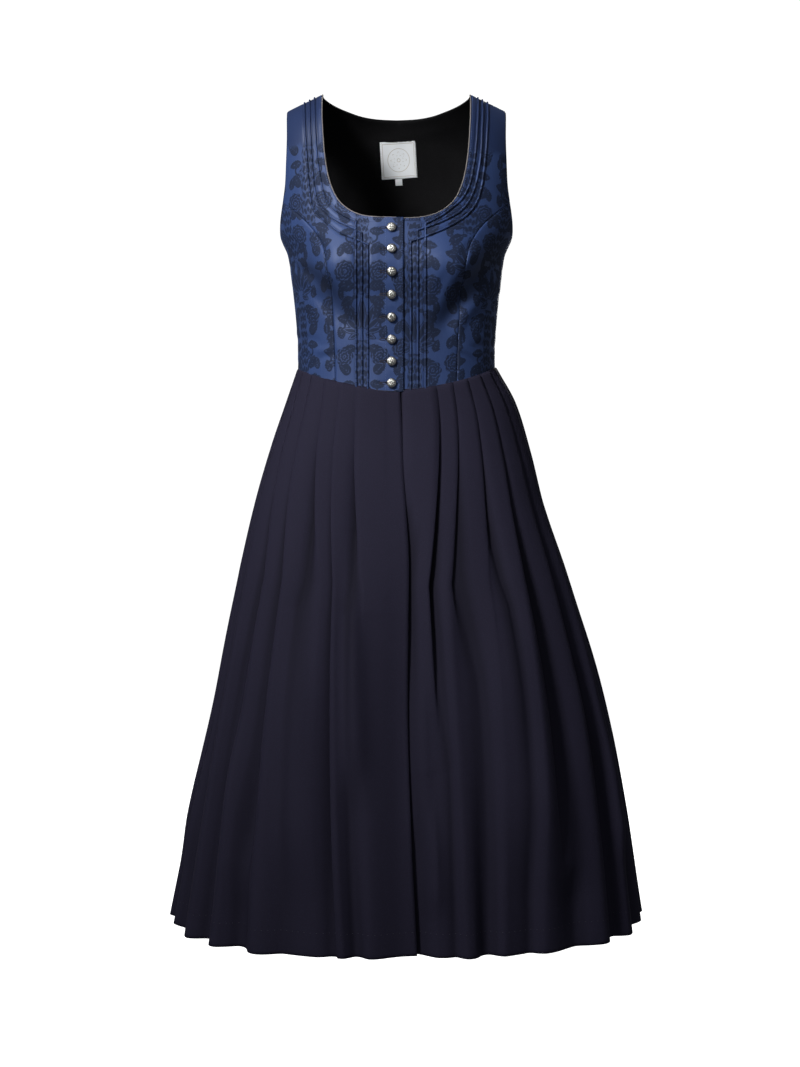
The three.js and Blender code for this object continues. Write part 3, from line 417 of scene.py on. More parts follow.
def rose(p, q, at_p, at_q, radius, lobes):
    """A round flower of rings of petals. Gives its outline, and the lines between the rings."""
    edge = petals(p, q, at_p, at_q, radius, lobes, ROSE_RING["swell"])
    away = np.hypot(p - at_p, q - at_q)
    angle = np.arctan2(q - at_q, p - at_p)
    rings = away - ROSE_RING["wave"] * np.abs(np.cos(angle * lobes / 2 + away * ROSE_RING["twist"]))
    spacing = ROSE_RING["spacing"]
    return edge, np.abs(((rings + ROSE_RING["shift"]) / spacing) % 1 - 0.5) * spacing


def scrollwork(p, q):
    """Winding lines inside the scalloped bands."""
    waves = np.sin(p * SCROLL["turns"] + SCROLL["bend"] * np.sin(q / SCROLL["sway"]))
    return waves * np.cos(q / SCROLL["down"] + SCROLL["lean"] * np.sin(p / SCROLL["across"]))


def damask(p, q):
    """The woven design at flat places on the cloth: motif distance and distance to its fine light lines."""
    p, q = p / DESIGN_SCALE, q / DESIGN_SCALE
    column = np.round(p / REPEAT["across"])
    u = np.abs(p - column * REPEAT["across"])
    v = q + (column % 2) * REPEAT["up"] / 2
    v = (v + REPEAT["up"] / 2) % REPEAT["up"] - REPEAT["up"] / 2
    motif = np.full(u.shape, NO_MOTIF)
    line = np.full(u.shape, NO_LINE)

    def add(edge, marks=None):
        nonlocal motif, line
        if marks is not None:
            line = np.where(edge > motif, marks, line)
        motif = np.maximum(motif, edge)

    for shift in (-REPEAT["up"], 0, REPEAT["up"]):
        w = v - shift
        for low, high, half in zip(LACE["low"], LACE["high"], LACE["half"]):
            scallop = half + SCALLOP["depth"] * np.abs(np.sin(w * math.pi / SCALLOP["length"])) - u
            ends = np.minimum(w - low, high - w)
            add(np.minimum(scallop, ends), np.abs(scrollwork(u, w)) * SCROLL["line"])
        for row in rows_of(LEAVES):
            edge, vein = leaf(u, w, *row.values(), teeth=LEAF_TEETH)
            add(edge, vein + VEIN_THINNING)
        for row in rows_of(FANS):
            edge, _ = leaf(u, w, *row.values())
            add(edge, np.abs(edge - FAN_LINE["inset"]) + FAN_LINE["thinning"])
        for row in rows_of(CURLS):
            add(curl(u, w, *row.values()))
        for row in rows_of(ROSES):
            add(*rose(u, w, *row.values()))
        for tip in range(BERRIES["count"]):
            place = (tip * BERRIES["across"], BERRIES["q"] - tip * BERRIES["down"])
            add(petals(u, w, *place, BERRIES["radius"], BERRIES["lobes"], BERRIES["swell"]))
    return motif * DESIGN_SCALE, line * DESIGN_SCALE


# Materials
def colour(r, g, b):
    """A colour from its 0 to 255 screen values."""
    linear = [c / 255 / 12.92 if c < 10.3 else ((c / 255 + 0.055) / 1.055) ** 2.4 for c in (r, g, b)]
    return (*linear, 1.0)


# The damask: colours, among them painted shade for the straps, the tucks' grooves and the hollows below the
# bust, edges of its bands in millimetres, shares of its shades, and its finish
DAMASK_LOOK = dict(
    ground_low=colour(38, 55, 97),
    ground_high=colour(46, 66, 112),
    ground_thread=colour(80, 105, 160),
    figure_low=colour(18, 27, 50),
    figure_high=colour(24, 36, 63),
    # partly the plain satin of the straps, partly painted shade that darkens their upturned tops
    strap=colour(30, 42, 76),
    # partly the stitching at each tuck's foot, partly painted shade in its groove
    tuck=colour(17, 23, 40),
    # painted shade: the dark blue mixed into the hollows below the bust
    hollow=colour(12, 17, 32),
    figure_edge=(-0.35, 0.45),
    line_edge=(0.45, 1.05),
    line_inset=(0.1, 0.7),
    tuck_edge=(0.1, 1.1),
    line_share=0.8,
    thread_share=0.22,
    strap_share=0.75,
    stitch_and_groove_shade_share=0.5,
    painted_hollow_shade_share=0.85,
    cloud_scale=26.0,
    thread_stretch=(900, 900, 60),
    roughness=0.44,
    figure_roughness=0.25,
    thread_roughness=0.08,
    specular=0.55,
    specular_tint=colour(205, 215, 240),
    sheen=0.06,
    sheen_roughness=0.45,
    sheen_tint=colour(120, 150, 215),
    ribs_per_metre=2400,
    rib_slope=0.5,
    rib_height=0.25,
    figure_height=0.9,
    bump=0.45,
    bump_mm=0.22,
)
LINING_LOOK = dict(
    dark=colour(7, 7, 8),
    light=colour(11, 11, 13),
    roughness=0.68,
    sheen=0.02,
    sheen_tint=colour(48, 48, 54),
    ribs_per_metre=1800,
    bump_mm=0.06,
    specular=0.1,
)
NAVY_LOOK = dict(
    dark=colour(34, 32, 47),
    light=colour(38, 36, 52),
    roughness=0.78,
    sheen=0.12,
    sheen_tint=colour(66, 64, 92),
    ribs_per_metre=900,
    bump_mm=0.16,
    specular=0.12,
)
# What the plain cloths share: mottling, flecks, and the painted shade in their folds
CLOTH_LOOK = dict(
    cloud_scale=9.0,
    fleck_scale=900.0,
    fleck_edge=(0.45, 0.75),
    fleck_share=0.12,
    fleck_height=0.6,
    sheen_roughness=0.6,
    bump=0.5,
    # painted shade: the near-black mixed into the valleys between folds
    fold=colour(13, 12, 20),
    fold_share=0.85,
)
SILVER_LOOK = dict(
    grime=colour(70, 68, 66),
    clean=colour(236, 235, 230),
    grime_scale=1400.0,
    grime_share=0.25,
    clean_edge=(0.28, 0.62),
    roughness=0.5,
    polish=-0.22,
    bump=0.3,
    bump_mm=0.1,
)
THREAD_LOOK = dict(twist_scale=700.0, distortion=2.0, roughness=0.55, bump=0.4, bump_mm=0.1)
LABEL_LOOK = dict(
    low=colour(232, 236, 240),
    high=colour(244, 247, 249),
    thread=colour(212, 217, 223),
    mark=colour(158, 146, 122),
    cloud_scale=60.0,
    threads_per_metre=1800,
    thread_share=0.12,
    mark_edge=(0.15, 0.55),
    mark_share=0.75,
    roughness=0.55,
    bump=0.35,
    bump_mm=0.12,
)


def new_material(name):
    material = bpy.data.materials.new(name)
    material.use_nodes = True
    tree = material.node_tree
    shader = tree.nodes["Principled BSDF"]
    return material, tree, shader


def node(tree, kind, inputs=None, **settings):
    made = tree.nodes.new(kind)
    for key, value in settings.items():
        setattr(made, key, value)
    for key, value in (inputs or {}).items():
        if isinstance(value, bpy.types.NodeSocket):
            tree.links.new(value, made.inputs[key])
        else:
            made.inputs[key].default_value = value
    return made


def maths(tree, operation, a, b=0.0, c=0.0):
    made = node(tree, "ShaderNodeMath", operation=operation)
    for socket, value in zip(made.inputs, (a, b, c)):
        if isinstance(value, bpy.types.NodeSocket):
            tree.links.new(value, socket)
        else:
            socket.default_value = value
    return made.outputs[0]


def mix(tree, factor, a, b):
    made = node(tree, "ShaderNodeMix", data_type="RGBA")
    for socket, value in ((made.inputs[0], factor), (made.inputs[6], a), (made.inputs[7], b)):
        if isinstance(value, bpy.types.NodeSocket):
            tree.links.new(value, socket)
        else:
            socket.default_value = value
    return made.outputs[2]


def attribute(tree, name):
    return node(tree, "ShaderNodeAttribute", attribute_name=name).outputs["Fac"]


def noise(tree, place, scale, detail=2.0):
    inputs = {"Vector": place, "Scale": scale, "Detail": detail}
    return node(tree, "ShaderNodeTexNoise", inputs).outputs["Fac"]


def share_of(tree, value, share):
    return maths(tree, "MULTIPLY", value, share)


def opposite(tree, value):
    return maths(tree, "SUBTRACT", 1.0, value)


def add_bump(tree, shader, height, strength, millimetres):
    inputs = {"Height": height, "Strength": strength, "Distance": millimetres * MM}
    bump = node(tree, "ShaderNodeBump", inputs)
    tree.links.new(bump.outputs["Normal"], shader.inputs["Normal"])


def finish(shader, **values):
    """Sets a shader's plain inputs by name, with _ for a space."""
    for key, value in values.items():
        shader.inputs[key.replace("_", " ")].default_value = value


def band(tree, value, low, high):
    """0 below low, 1 above high, smooth between."""
    made = node(tree, "ShaderNodeMapRange", interpolation_type="SMOOTHSTEP")
    tree.links.new(value, made.inputs["Value"])
    made.inputs["From Min"].default_value = low
    made.inputs["From Max"].default_value = high
    return made.outputs["Result"]


def object_place(tree, scale=(1, 1, 1)):
    where = node(tree, "ShaderNodeTexCoord").outputs["Object"]
    return node(tree, "ShaderNodeMapping", {"Vector": where, "Scale": scale}).outputs["Vector"]


# A wave texture shows about this many bands in one unit at scale 1
WAVES_TO_SCALE = 3.14


def weave_height(tree, place, per_metre, slope=0.6):
    """Fine diagonal ribs of a twill or satin weave."""
    turned = node(tree, "ShaderNodeMapping", {"Vector": place, "Rotation": (0, slope, 0)}).outputs["Vector"]
    inputs = {"Vector": turned, "Scale": per_metre / WAVES_TO_SCALE, "Distortion": 0.6, "Detail": 1.0}
    ribs = node(tree, "ShaderNodeTexWave", inputs, wave_type="BANDS", bands_direction="Z")
    return ribs.outputs["Fac"]


def damask_material():
    """Satin ground and duller weft figures, switched by the woven design's distances, with painted shade
    mixed in on the straps, along the tucks' grooves and in the hollows below the bust.
    """
    material, tree, shader = new_material("damask")
    look = DAMASK_LOOK
    motif, plain = attribute(tree, "motif"), attribute(tree, "plain")
    place = object_place(tree)
    fine = opposite(tree, band(tree, attribute(tree, "fine_line"), *look["line_edge"]))
    fine = maths(tree, "MULTIPLY", fine, band(tree, motif, *look["line_inset"]))
    figure = band(tree, motif, *look["figure_edge"])
    figure = maths(tree, "MULTIPLY", figure, opposite(tree, share_of(tree, fine, look["line_share"])))
    figure = maths(tree, "MULTIPLY", figure, opposite(tree, plain))
    cloud = noise(tree, place, look["cloud_scale"], 3.0)
    streak = noise(tree, object_place(tree, look["thread_stretch"]), 1.0)
    ground = mix(tree, cloud, look["ground_low"], look["ground_high"])
    ground = mix(tree, share_of(tree, streak, look["thread_share"]), ground, look["ground_thread"])
    # the plain straps: no design, and painted shade that darkens their tops
    ground = mix(tree, share_of(tree, plain, look["strap_share"]), ground, look["strap"])
    base = mix(tree, figure, ground, mix(tree, cloud, look["figure_low"], look["figure_high"]))
    # partly the stitching at the tucks' feet, partly painted shade in their grooves
    stitch_and_groove_shade = opposite(tree, band(tree, attribute(tree, "tuck_line"), *look["tuck_edge"]))
    base = mix(tree, share_of(tree, stitch_and_groove_shade, look["stitch_and_groove_shade_share"]), base, look["tuck"])
    # painted shade: darker in the hollows below the bust
    base = mix(tree, share_of(tree, attribute(tree, "hollow"), look["painted_hollow_shade_share"]), base, look["hollow"])
    tree.links.new(base, shader.inputs["Base Color"])
    rough = maths(tree, "MULTIPLY_ADD", figure, look["figure_roughness"], look["roughness"])
    rough = maths(tree, "MULTIPLY_ADD", streak, look["thread_roughness"], rough)
    tree.links.new(rough, shader.inputs["Roughness"])
    finish(
        shader, Specular_IOR_Level=look["specular"], Specular_Tint=look["specular_tint"],
        Sheen_Weight=look["sheen"], Sheen_Roughness=look["sheen_roughness"], Sheen_Tint=look["sheen_tint"],
    )
    ribs = weave_height(tree, place, look["ribs_per_metre"], look["rib_slope"])
    ribs = share_of(tree, ribs, look["rib_height"])
    height = maths(tree, "MULTIPLY_ADD", figure, look["figure_height"], ribs)
    add_bump(tree, shader, height, look["bump"], look["bump_mm"])
    return material


def cloth_material(name, dark, light, roughness, sheen, sheen_tint, ribs_per_metre, bump_mm, specular):
    """A plain woven cloth with fine ribs, a little mottling, a soft sheen, and painted shade darkening its
    folds.
    """
    material, tree, shader = new_material(name)
    look = CLOTH_LOOK
    place = object_place(tree)
    fleck = noise(tree, place, look["fleck_scale"])
    base = mix(tree, noise(tree, place, look["cloud_scale"], 4.0), dark, light)
    spots = band(tree, fleck, *look["fleck_edge"])
    base = mix(tree, share_of(tree, spots, look["fleck_share"]), base, sheen_tint)
    # painted shade: darker in the valleys between the skirt's folds
    base = mix(tree, share_of(tree, attribute(tree, "painted_fold_shade"), look["fold_share"]), base, look["fold"])
    tree.links.new(base, shader.inputs["Base Color"])
    rough = maths(tree, "MULTIPLY_ADD", fleck, look["fleck_share"], roughness)
    tree.links.new(rough, shader.inputs["Roughness"])
    finish(
        shader, Specular_IOR_Level=specular, Sheen_Weight=sheen, Sheen_Roughness=look["sheen_roughness"],
        Sheen_Tint=sheen_tint,
    )
    ribs = weave_height(tree, place, ribs_per_metre)
    height = maths(tree, "MULTIPLY_ADD", fleck, look["fleck_height"], ribs)
    add_bump(tree, shader, height, look["bump"], bump_mm)
    return material


def silver_material():
    """Old silver: bright on the heights, darkened in the hollows of the relief."""
    material, tree, shader = new_material("old_silver")
    look = SILVER_LOOK
    grime = noise(tree, object_place(tree), look["grime_scale"], 3.0)
    worn = maths(tree, "MULTIPLY_ADD", grime, look["grime_share"], attribute(tree, "relief"))
    clean = band(tree, worn, *look["clean_edge"])
    tree.links.new(mix(tree, clean, look["grime"], look["clean"]), shader.inputs["Base Color"])
    rough = maths(tree, "MULTIPLY_ADD", clean, look["polish"], look["roughness"])
    tree.links.new(rough, shader.inputs["Roughness"])
    finish(shader, Metallic=1.0)
    add_bump(tree, shader, grime, look["bump"], look["bump_mm"])
    return material


def thread_material(name, shade, light):
    """Twisted sewing thread."""
    material, tree, shader = new_material(name)
    look = THREAD_LOOK
    inputs = {"Vector": object_place(tree), "Scale": look["twist_scale"], "Distortion": look["distortion"]}
    twist = node(tree, "ShaderNodeTexWave", inputs, bands_direction="DIAGONAL").outputs["Fac"]
    tree.links.new(mix(tree, twist, shade, light), shader.inputs["Base Color"])
    finish(shader, Roughness=look["roughness"])
    add_bump(tree, shader, twist, look["bump"], look["bump_mm"])
    return material


def label_material():
    """White woven label with a thin woven border and a small plain rosette."""
    material, tree, shader = new_material("woven_label")
    look = LABEL_LOOK
    place = object_place(tree, (look["threads_per_metre"],) * 3)
    threads = node(tree, "ShaderNodeTexChecker", {"Vector": place, "Scale": 1.0}).outputs["Fac"]
    base = mix(tree, noise(tree, object_place(tree), look["cloud_scale"]), look["low"], look["high"])
    base = mix(tree, share_of(tree, threads, look["thread_share"]), base, look["thread"])
    inked = opposite(tree, band(tree, attribute(tree, "mark"), *look["mark_edge"]))
    base = mix(tree, share_of(tree, inked, look["mark_share"]), base, look["mark"])
    tree.links.new(base, shader.inputs["Base Color"])
    finish(shader, Roughness=look["roughness"])
    add_bump(tree, shader, threads, look["bump"], look["bump_mm"])
    return material


DAMASK = damask_material()
LINING = cloth_material("lining_satin", **LINING_LOOK)
NAVY = cloth_material("skirt_twill", **NAVY_LOOK)
SILVER = silver_material()
BLUE_THREAD = thread_material("blue_thread", colour(44, 62, 104), colour(92, 116, 168))
NAVY_THREAD = thread_material("navy_thread", colour(30, 29, 42), colour(40, 38, 55))
TAUPE_THREAD = thread_material("taupe_binding", colour(104, 98, 96), colour(150, 144, 140))
WHITE_THREAD = thread_material("white_thread", colour(190, 190, 188), colour(228, 228, 226))
WOVEN_LABEL = label_material()


# Bands of painted shade in the hollows that run in below the bust: from and to on the front, half width and
# strength
PAINTED_HOLLOW_SHADES = dict(
    from_x=[-120, 141],
    from_z=[-230, -196],
    to_x=[-52, 46],
    to_z=[-308, -324],
    width=[11, 14],
    share=[0.75, 0.72],
)
# Where along it a band of painted shade is darkest, and how much it fades from there
PAINTED_SHADE_FADE = dict(share=0.45, place=0.8, front=25)


def painted_hollow_shade_share(points):
    """How much painted shade each point of the front gets in the hollows below the bust, 0 to 1."""
    points = np.asarray(points)
    total = np.zeros(len(points))
    front = np.clip(-points[:, 1] / PAINTED_SHADE_FADE["front"], 0, 1)
    for row in rows_of(PAINTED_HOLLOW_SHADES):
        start = np.array([row["from_x"], row["from_z"]])
        run = np.array([row["to_x"], row["to_z"]]) - start
        away = points[:, [0, 2]] - start
        along = np.clip(away @ run / (run @ run), 0, 1)
        off = np.linalg.norm(away - along[:, None] * run, axis=1) / row["width"]
        fade = 1 - PAINTED_SHADE_FADE["share"] * np.abs(2 * along - PAINTED_SHADE_FADE["place"])
        total = np.maximum(total, row["share"] * fade * np.exp(-(off**2)) * front)
    return np.clip(total, 0, 1)


# Pieces
def add_piece(name, points, faces, materials, slot, replaces=(), attributes=None):
    """A mesh piece from points in millimetres, riding on the root body."""
    mesh = bpy.data.meshes.new(name)
    mesh.from_pydata((np.asarray(points) * MM).tolist(), [], faces)
    if DAMASK in materials:
        no_line = np.full(len(points), NO_LINE)
        # every damask piece gets the painted shade of the hollows below the bust
        attributes = {"tuck_line": no_line, "hollow": painted_hollow_shade_share(points), **attributes}
    for key, values in (attributes or {}).items():
        layer = mesh.attributes.new(key, "FLOAT", "POINT")
        layer.data.foreach_set("value", np.asarray(values, np.float32).ravel())
    for material in materials:
        mesh.materials.append(material)
    mesh.shade_smooth()
    mesh.update()
    piece = bpy.data.objects.new(name, mesh)
    root.objects.link(piece)
    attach(piece, "root")
    if replaces:
        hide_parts(*replaces)
    return piece


def grid_faces(rows, columns, flip=False, first=0):
    """Quads of a grid of points, row by row."""
    here = (np.arange(rows - 1)[:, None] * columns + np.arange(columns - 1)[None, :]).ravel() + first
    quads = np.stack([here, here + 1, here + columns + 1, here + columns], 1)
    return (quads[:, ::-1] if flip else quads).tolist()


def faces_outward(grid, normals):
    """True where a grid's quads, row by row, turn the way its normals point."""
    across = grid[1:-1, 2:] - grid[1:-1, :-2]
    up = grid[2:, 1:-1] - grid[:-2, 1:-1]
    return float((np.cross(across, up) * normals[1:-1, 1:-1]).sum()) > 0


def add_grid(name, grid, normals, materials, slot, replaced, attributes=None):
    """A mesh piece from a grid of points, with its faces turned the way the normals point."""
    faces = grid_faces(*grid.shape[:2], flip=not faces_outward(grid, normals))
    return add_piece(name, grid.reshape(-1, 3), faces, materials, slot, [replaced], attributes)


def thicken(piece, millimetres):
    """Gives a sheet its thickness inward, with the second material inside."""
    wall = piece.modifiers.new("wall", "SOLIDIFY")
    wall.thickness = millimetres * MM
    wall.offset = -1
    wall.material_offset = wall.material_offset_rim = len(piece.data.materials) - 1


# Bodice panels: the solids' grids with more rows and columns
BODY_ROWS, STRAP_ROWS, CENTRE_ROWS = 15, 8, 11
EDGE_STEPS = 40
# Spacing of the rows: powers at the shoulder and neck, and the eased share at the centre back
SPACING = dict(shoulder=1.6, neck=1.25, centre_back=0.25)
# Negative, because the panels of cloth reach a hair past the middle of their seams
HALF_SEAM_DEGREES = -0.03
SEAM_ROLL = dict(depth=0.75, width=1.5)


def shoulder_spacing(q):
    return 1 - (1 - q) ** SPACING["shoulder"]


def neck_spacing(q):
    return 1 - (1 - q) ** SPACING["neck"]


def strap_edge(edge):
    x, z = edge
    z = z.copy()
    z[-1] = shoulder_height(x[-1]) - SHOULDER["edge_drop"]
    return x, z


def as_edge(x, z, behind=False):
    return np.stack([torso_angle(x, z, behind), z], 1)


def panel(side, inner, outer, columns, gaps, finer, bow=0, level=0, level_rows=0):
    """Points, normals, angles and cloth shares of a panel between two edges of angle and height."""
    rows = len(inner)
    row = np.arange(rows)[:, None] / finer
    q = row * finer / (rows - 1)
    u = np.linspace(0, 1, columns + 1)[None, :]
    flat = level * np.clip(level_rows + 1 - row, 0, 1)
    share = np.maximum(0, u - flat) / (1 - flat)
    z = lerp(inner[:, 1:], outer[:, 1:], share)
    degrees = lerp(inner[:, :1], outer[:, :1], u) + lerp(gaps[0], -gaps[1], u)
    z = z + (waist_z(degrees[:1]) - z[:1]) * (1 - q) ** 3 - bow * np.sin(np.pi * u) * q**6

    def line(angle, height):
        return shoulder_height(np.abs(torso_point(1, angle, height)[..., 0]))

    drop_in = line(inner[:, 0], inner[:, 1]) - inner[:, 1]
    drop_out = line(outer[:, 0], outer[:, 1]) - outer[:, 1]
    drop = np.maximum(lerp(drop_in[:, None], drop_out[:, None], u), SHOULDER["edge_drop"])
    blend = np.clip((row - BODY_ROWS) / STRAP_ROWS, 0, 1)
    z = lerp(z, line(degrees, z) - drop, blend)
    return torso_point(side, degrees, z), torso_normal(side, degrees, z), degrees, z


def princess_edge(table, behind, finer):
    edge = as_edge(*along_edge(table, BODY_ROWS * finer), behind)
    edge[0, 1] = waist_z(edge[0, 0])
    return edge


def side_seam(finer):
    z = np.linspace(WAIST["side_z"], UNDERARM_Z, BODY_ROWS * finer + 1)
    return np.stack([np.full(z.shape, 90.0), z], 1)


def front_edges(centre_x, finer):
    z = np.linspace(float(waist_z(0)), FRONT_NECK["z"][0], CENTRE_ROWS * finer + 1)
    centre = np.stack([np.sign(centre_x) * torso_angle(abs(centre_x), z), z], 1)
    neck_rows = (BODY_ROWS + STRAP_ROWS - CENTRE_ROWS) * finer
    neck = as_edge(*strap_edge(along_edge(FRONT_NECK, neck_rows, neck_spacing)))
    armhole = as_edge(*strap_edge(along_edge(FRONT_ARMHOLE, STRAP_ROWS * finer, shoulder_spacing)))
    princess = princess_edge(FRONT_PRINCESS, False, finer)
    return np.vstack([centre, neck[1:]]), np.vstack([princess, armhole[1:]])


def back_edges(finer):
    share = np.linspace(0, 1, BODY_ROWS * finer + 1)
    eased = SPACING["centre_back"]
    z = lerp(float(waist_z(180)), BACK_NECK["z"][0], ease(share) * eased + share * (1 - eased))
    centre = np.stack([np.full(z.shape, 180.0), z], 1)
    neck = as_edge(*strap_edge(along_edge(BACK_NECK, STRAP_ROWS * finer)), True)
    armhole = as_edge(*strap_edge(along_edge(BACK_ARMHOLE, STRAP_ROWS * finer, shoulder_spacing)), True)
    princess = princess_edge(BACK_PRINCESS, True, finer)
    return np.vstack([centre, neck[1:]]), np.vstack([princess, armhole[1:]])


# The groove along both feet of a tuck, by distance from its middle
TUCK_GROOVE = dict(away=2.0, depth=0.7, width=1.1)


def edge_roll(points, sides):
    """How far the cloth turns in along the named sides of a grid."""
    reach = np.full(points.shape[:2], 99.0)
    lengths = {
        "inner": np.cumsum(np.linalg.norm(np.diff(points, axis=1, prepend=points[:, :1]), axis=-1), 1),
        "bottom": np.cumsum(np.linalg.norm(np.diff(points, axis=0, prepend=points[:1]), axis=-1), 0),
    }
    lengths["outer"] = lengths["inner"][:, -1:] - lengths["inner"]
    lengths["top"] = lengths["bottom"][-1:] - lengths["bottom"]
    for side in sides:
        reach = np.minimum(reach, lengths[side])
    return SEAM_ROLL["depth"] * np.exp(-((reach / SEAM_ROLL["width"]) ** 2))


# A crease across its line: a trough with a lower ridge above it, bent along its length
CREASE_SHAPE = dict(ridge=0.7, ridge_place=1.7, bend=3, front=30, front_start=0.4)
BACK_CREASE_SHAPE = dict(ridge=0.6, ridge_place=1.6, slant=6, side_shift=2)


def trough(across, ridge, ridge_place):
    return np.exp(-(across**2)) - ridge * np.exp(-((across - ridge_place) ** 2))


def along_and_across(row, x, z):
    """Distances in millimetres along and across a sloping line."""
    turn = math.radians(row["slope"])
    off_x, off_z = x - row["x"], z - row["z"]
    return (
        off_x * math.cos(turn) + off_z * math.sin(turn),
        -off_x * math.sin(turn) + off_z * math.cos(turn),
    )


def creases(points):
    """Soft troughs with a low ridge above each, by world x and z on the front."""
    x, y, z = points[..., 0], points[..., 1], points[..., 2]
    shape = CREASE_SHAPE
    total = np.zeros(x.shape)
    front = np.clip(-y / shape["front"] + shape["front_start"], 0, 1)
    for row in rows_of(CREASES):
        along, across = along_and_across(row, x, z)
        along = along / row["length"]
        across = (across + shape["bend"] * along**2) / row["width"]
        dip = trough(across, shape["ridge"], shape["ridge_place"])
        total -= row["depth"] * dip * np.exp(-(along**2)) * front
    return total


BACK_CREASES = dict(
    degrees=[112, 128, 148, 166, 104, 138],
    z=[-300, -342, -318, -346, -236, -204],
    width=[16, 12, 14, 12, 14, 16],
    tall=[5, 4, 5, 4, 7, 6],
    depth=[1.3, 1.4, 1.1, 1.0, 1.2, 1.0],
)


def back_creases(side, degrees, z):
    """Short level wrinkles above the back waist and slanting ones below the armholes."""
    shape = BACK_CREASE_SHAPE
    total = np.zeros(z.shape)
    for row in rows_of(BACK_CREASES):
        across = (degrees - row["degrees"] - side * shape["side_shift"]) / row["width"]
        up = (z - row["z"] + across * shape["slant"] * side) / row["tall"]
        total -= row["depth"] * np.exp(-(across**2)) * trough(up, shape["ridge"], shape["ridge_place"])
    return total


def button_heights():
    return np.linspace(BUTTON["top_z"], BUTTON["bottom_z"], BUTTON["count"])


# Dips and puffs of the placket: height, place beside the centre and below a button, and half width and height
PULLS = dict(depth=[-0.9, 0.5], x=[-15, -8], below=[0, -14], wide=[9, 9], tall=[2.6, 6])


def button_pulls(points):
    """The cloth dips beside each button and puffs a little between two."""
    x, z = points[..., 0], points[..., 2]
    total = np.zeros(x.shape)
    for at in button_heights():
        for pull in rows_of(PULLS):
            across, up = (x - pull["x"]) / pull["wide"], (z - at + pull["below"]) / pull["tall"]
            total += pull["depth"] * np.exp(-(across**2) - up**2)
    return total


# Where the straps turn plain and darker with painted shade: height on the right, the left and behind, and the
# height it takes
STRAP_PLAIN = dict(right=-74.0, left=-84.0, behind=-22.0, behind_y=10, run=12, back_start=-60, back_run=14)


def plain_and_shaded_share(points):
    """1 where the straps are plain near the shoulder and take their painted shade, 0 where the design is
    woven.
    """
    x, y, z = points[..., 0], points[..., 1], points[..., 2]
    start = np.where(x < 0, STRAP_PLAIN["right"], STRAP_PLAIN["left"])
    start = np.where(y > STRAP_PLAIN["behind_y"], STRAP_PLAIN["behind"], start)
    return ease(np.clip((z - start) / STRAP_PLAIN["run"], 0, 1))


# Where the design lies on each panel: across in millimetres or degrees, and up
FRONT_GRAIN = {-1: 45.0, 1: 24.0}
FRONT_LIFT = {-1: 22.0, 1: 4.0}
FRONT_UP = 330
BACK_UP = 296
SIDE_SHIFT = 6
SIDE_PANELS = dict(
    side_front=dict(columns=60, grain={-1: 62.0, 1: 60.0}, up=258),
    side_back=dict(columns=66, grain={-1: 118.0, 1: 118.0}, up=300),
)
ARMHOLE_BOW = 9
# How many times finer than the solids the rows are, and the columns across
FRONT_GRID = dict(finer=14, columns=66)
SIDE_FINER = 11
BACK_GRID = dict(finer=10, columns=42)
LINING_GRID = dict(finer=5, columns=28)
# The front's share beside the centre that stays level up to the neck
LEVEL_SHARE = 0.34


def weave_attributes(points, across, up):
    motif, line = damask(across, up)
    return dict(motif=motif, fine_line=line, plain=plain_and_shaded_share(points))


def from_tucks(side, points):
    """Distance in x and z from each point to the nearest tuck of its side."""
    flat = points[..., [0, 2]].reshape(-1, 2)
    nearest = np.full(len(flat), 99.0)
    for x, z in tuck_paths(side):
        for at in np.stack([x, z], 1)[::2]:
            nearest = np.minimum(nearest, np.hypot(*(flat - at).T))
    return nearest.reshape(points.shape[:-1])


def side_name(side):
    return "right" if side < 0 else "left"


def add_panel(name, body, normals, attributes):
    piece = add_grid(f"cloth_{name}", body, normals, [DAMASK, LINING], "damask", f"bodice_{name}", attributes)
    thicken(piece, CLOTH)


def add_front(side):
    centre_x = -PLACKET["edge"] if side < 0 else PLACKET["under"]
    inner, outer = front_edges(centre_x, FRONT_GRID["finer"])
    points, normals, degrees, z = panel(
        side, inner, outer, gaps=(0, HALF_SEAM_DEGREES), level=LEVEL_SHARE, level_rows=CENTRE_ROWS - 1,
        **FRONT_GRID,
    )
    flat = torso_arc(0.0, degrees, z)
    offset = CLOTH / 2 + creases(points)
    roll = edge_roll(points, ("inner", "outer", "top"))
    beside = from_tucks(side, points)
    groove = (beside - TUCK_GROOVE["away"]) / TUCK_GROOVE["width"]
    offset = offset - TUCK_GROOVE["depth"] * np.exp(-(groove**2))
    if side < 0:
        offset = offset + placket_offset(points[..., 0]) + button_pulls(points)
    body = points + normals * (offset - roll)[..., None]
    attributes = weave_attributes(points, flat - FRONT_GRAIN[side], z - FRONT_LIFT[side] + FRONT_UP)
    # distance to the tucks' grooves, where stitching and painted shade are darkened in
    attributes["tuck_line"] = np.abs(beside - TUCK_GROOVE["away"])
    add_panel(f"front_{side_name(side)}", body, normals, attributes)


def add_side(side, which):
    finer = SIDE_FINER
    front = which == "side_front"
    kind = SIDE_PANELS[which]
    inner = princess_edge(FRONT_PRINCESS if front else BACK_PRINCESS, not front, finer)
    gap = HALF_SEAM_DEGREES if front else -HALF_SEAM_DEGREES
    points, normals, degrees, z = panel(
        side, inner, side_seam(finer), kind["columns"], (gap, gap), finer, bow=ARMHOLE_BOW
    )
    flat = torso_arc(kind["grain"][side], degrees, z)
    offset = CLOTH / 2 + (creases(points) if front else back_creases(side, degrees, z))
    body = points + normals * (offset - edge_roll(points, ("inner", "outer", "top")))[..., None]
    attributes = weave_attributes(points, flat, z + kind["up"] + side * SIDE_SHIFT)
    add_panel(f"{which}_{side_name(side)}", body, normals, attributes)


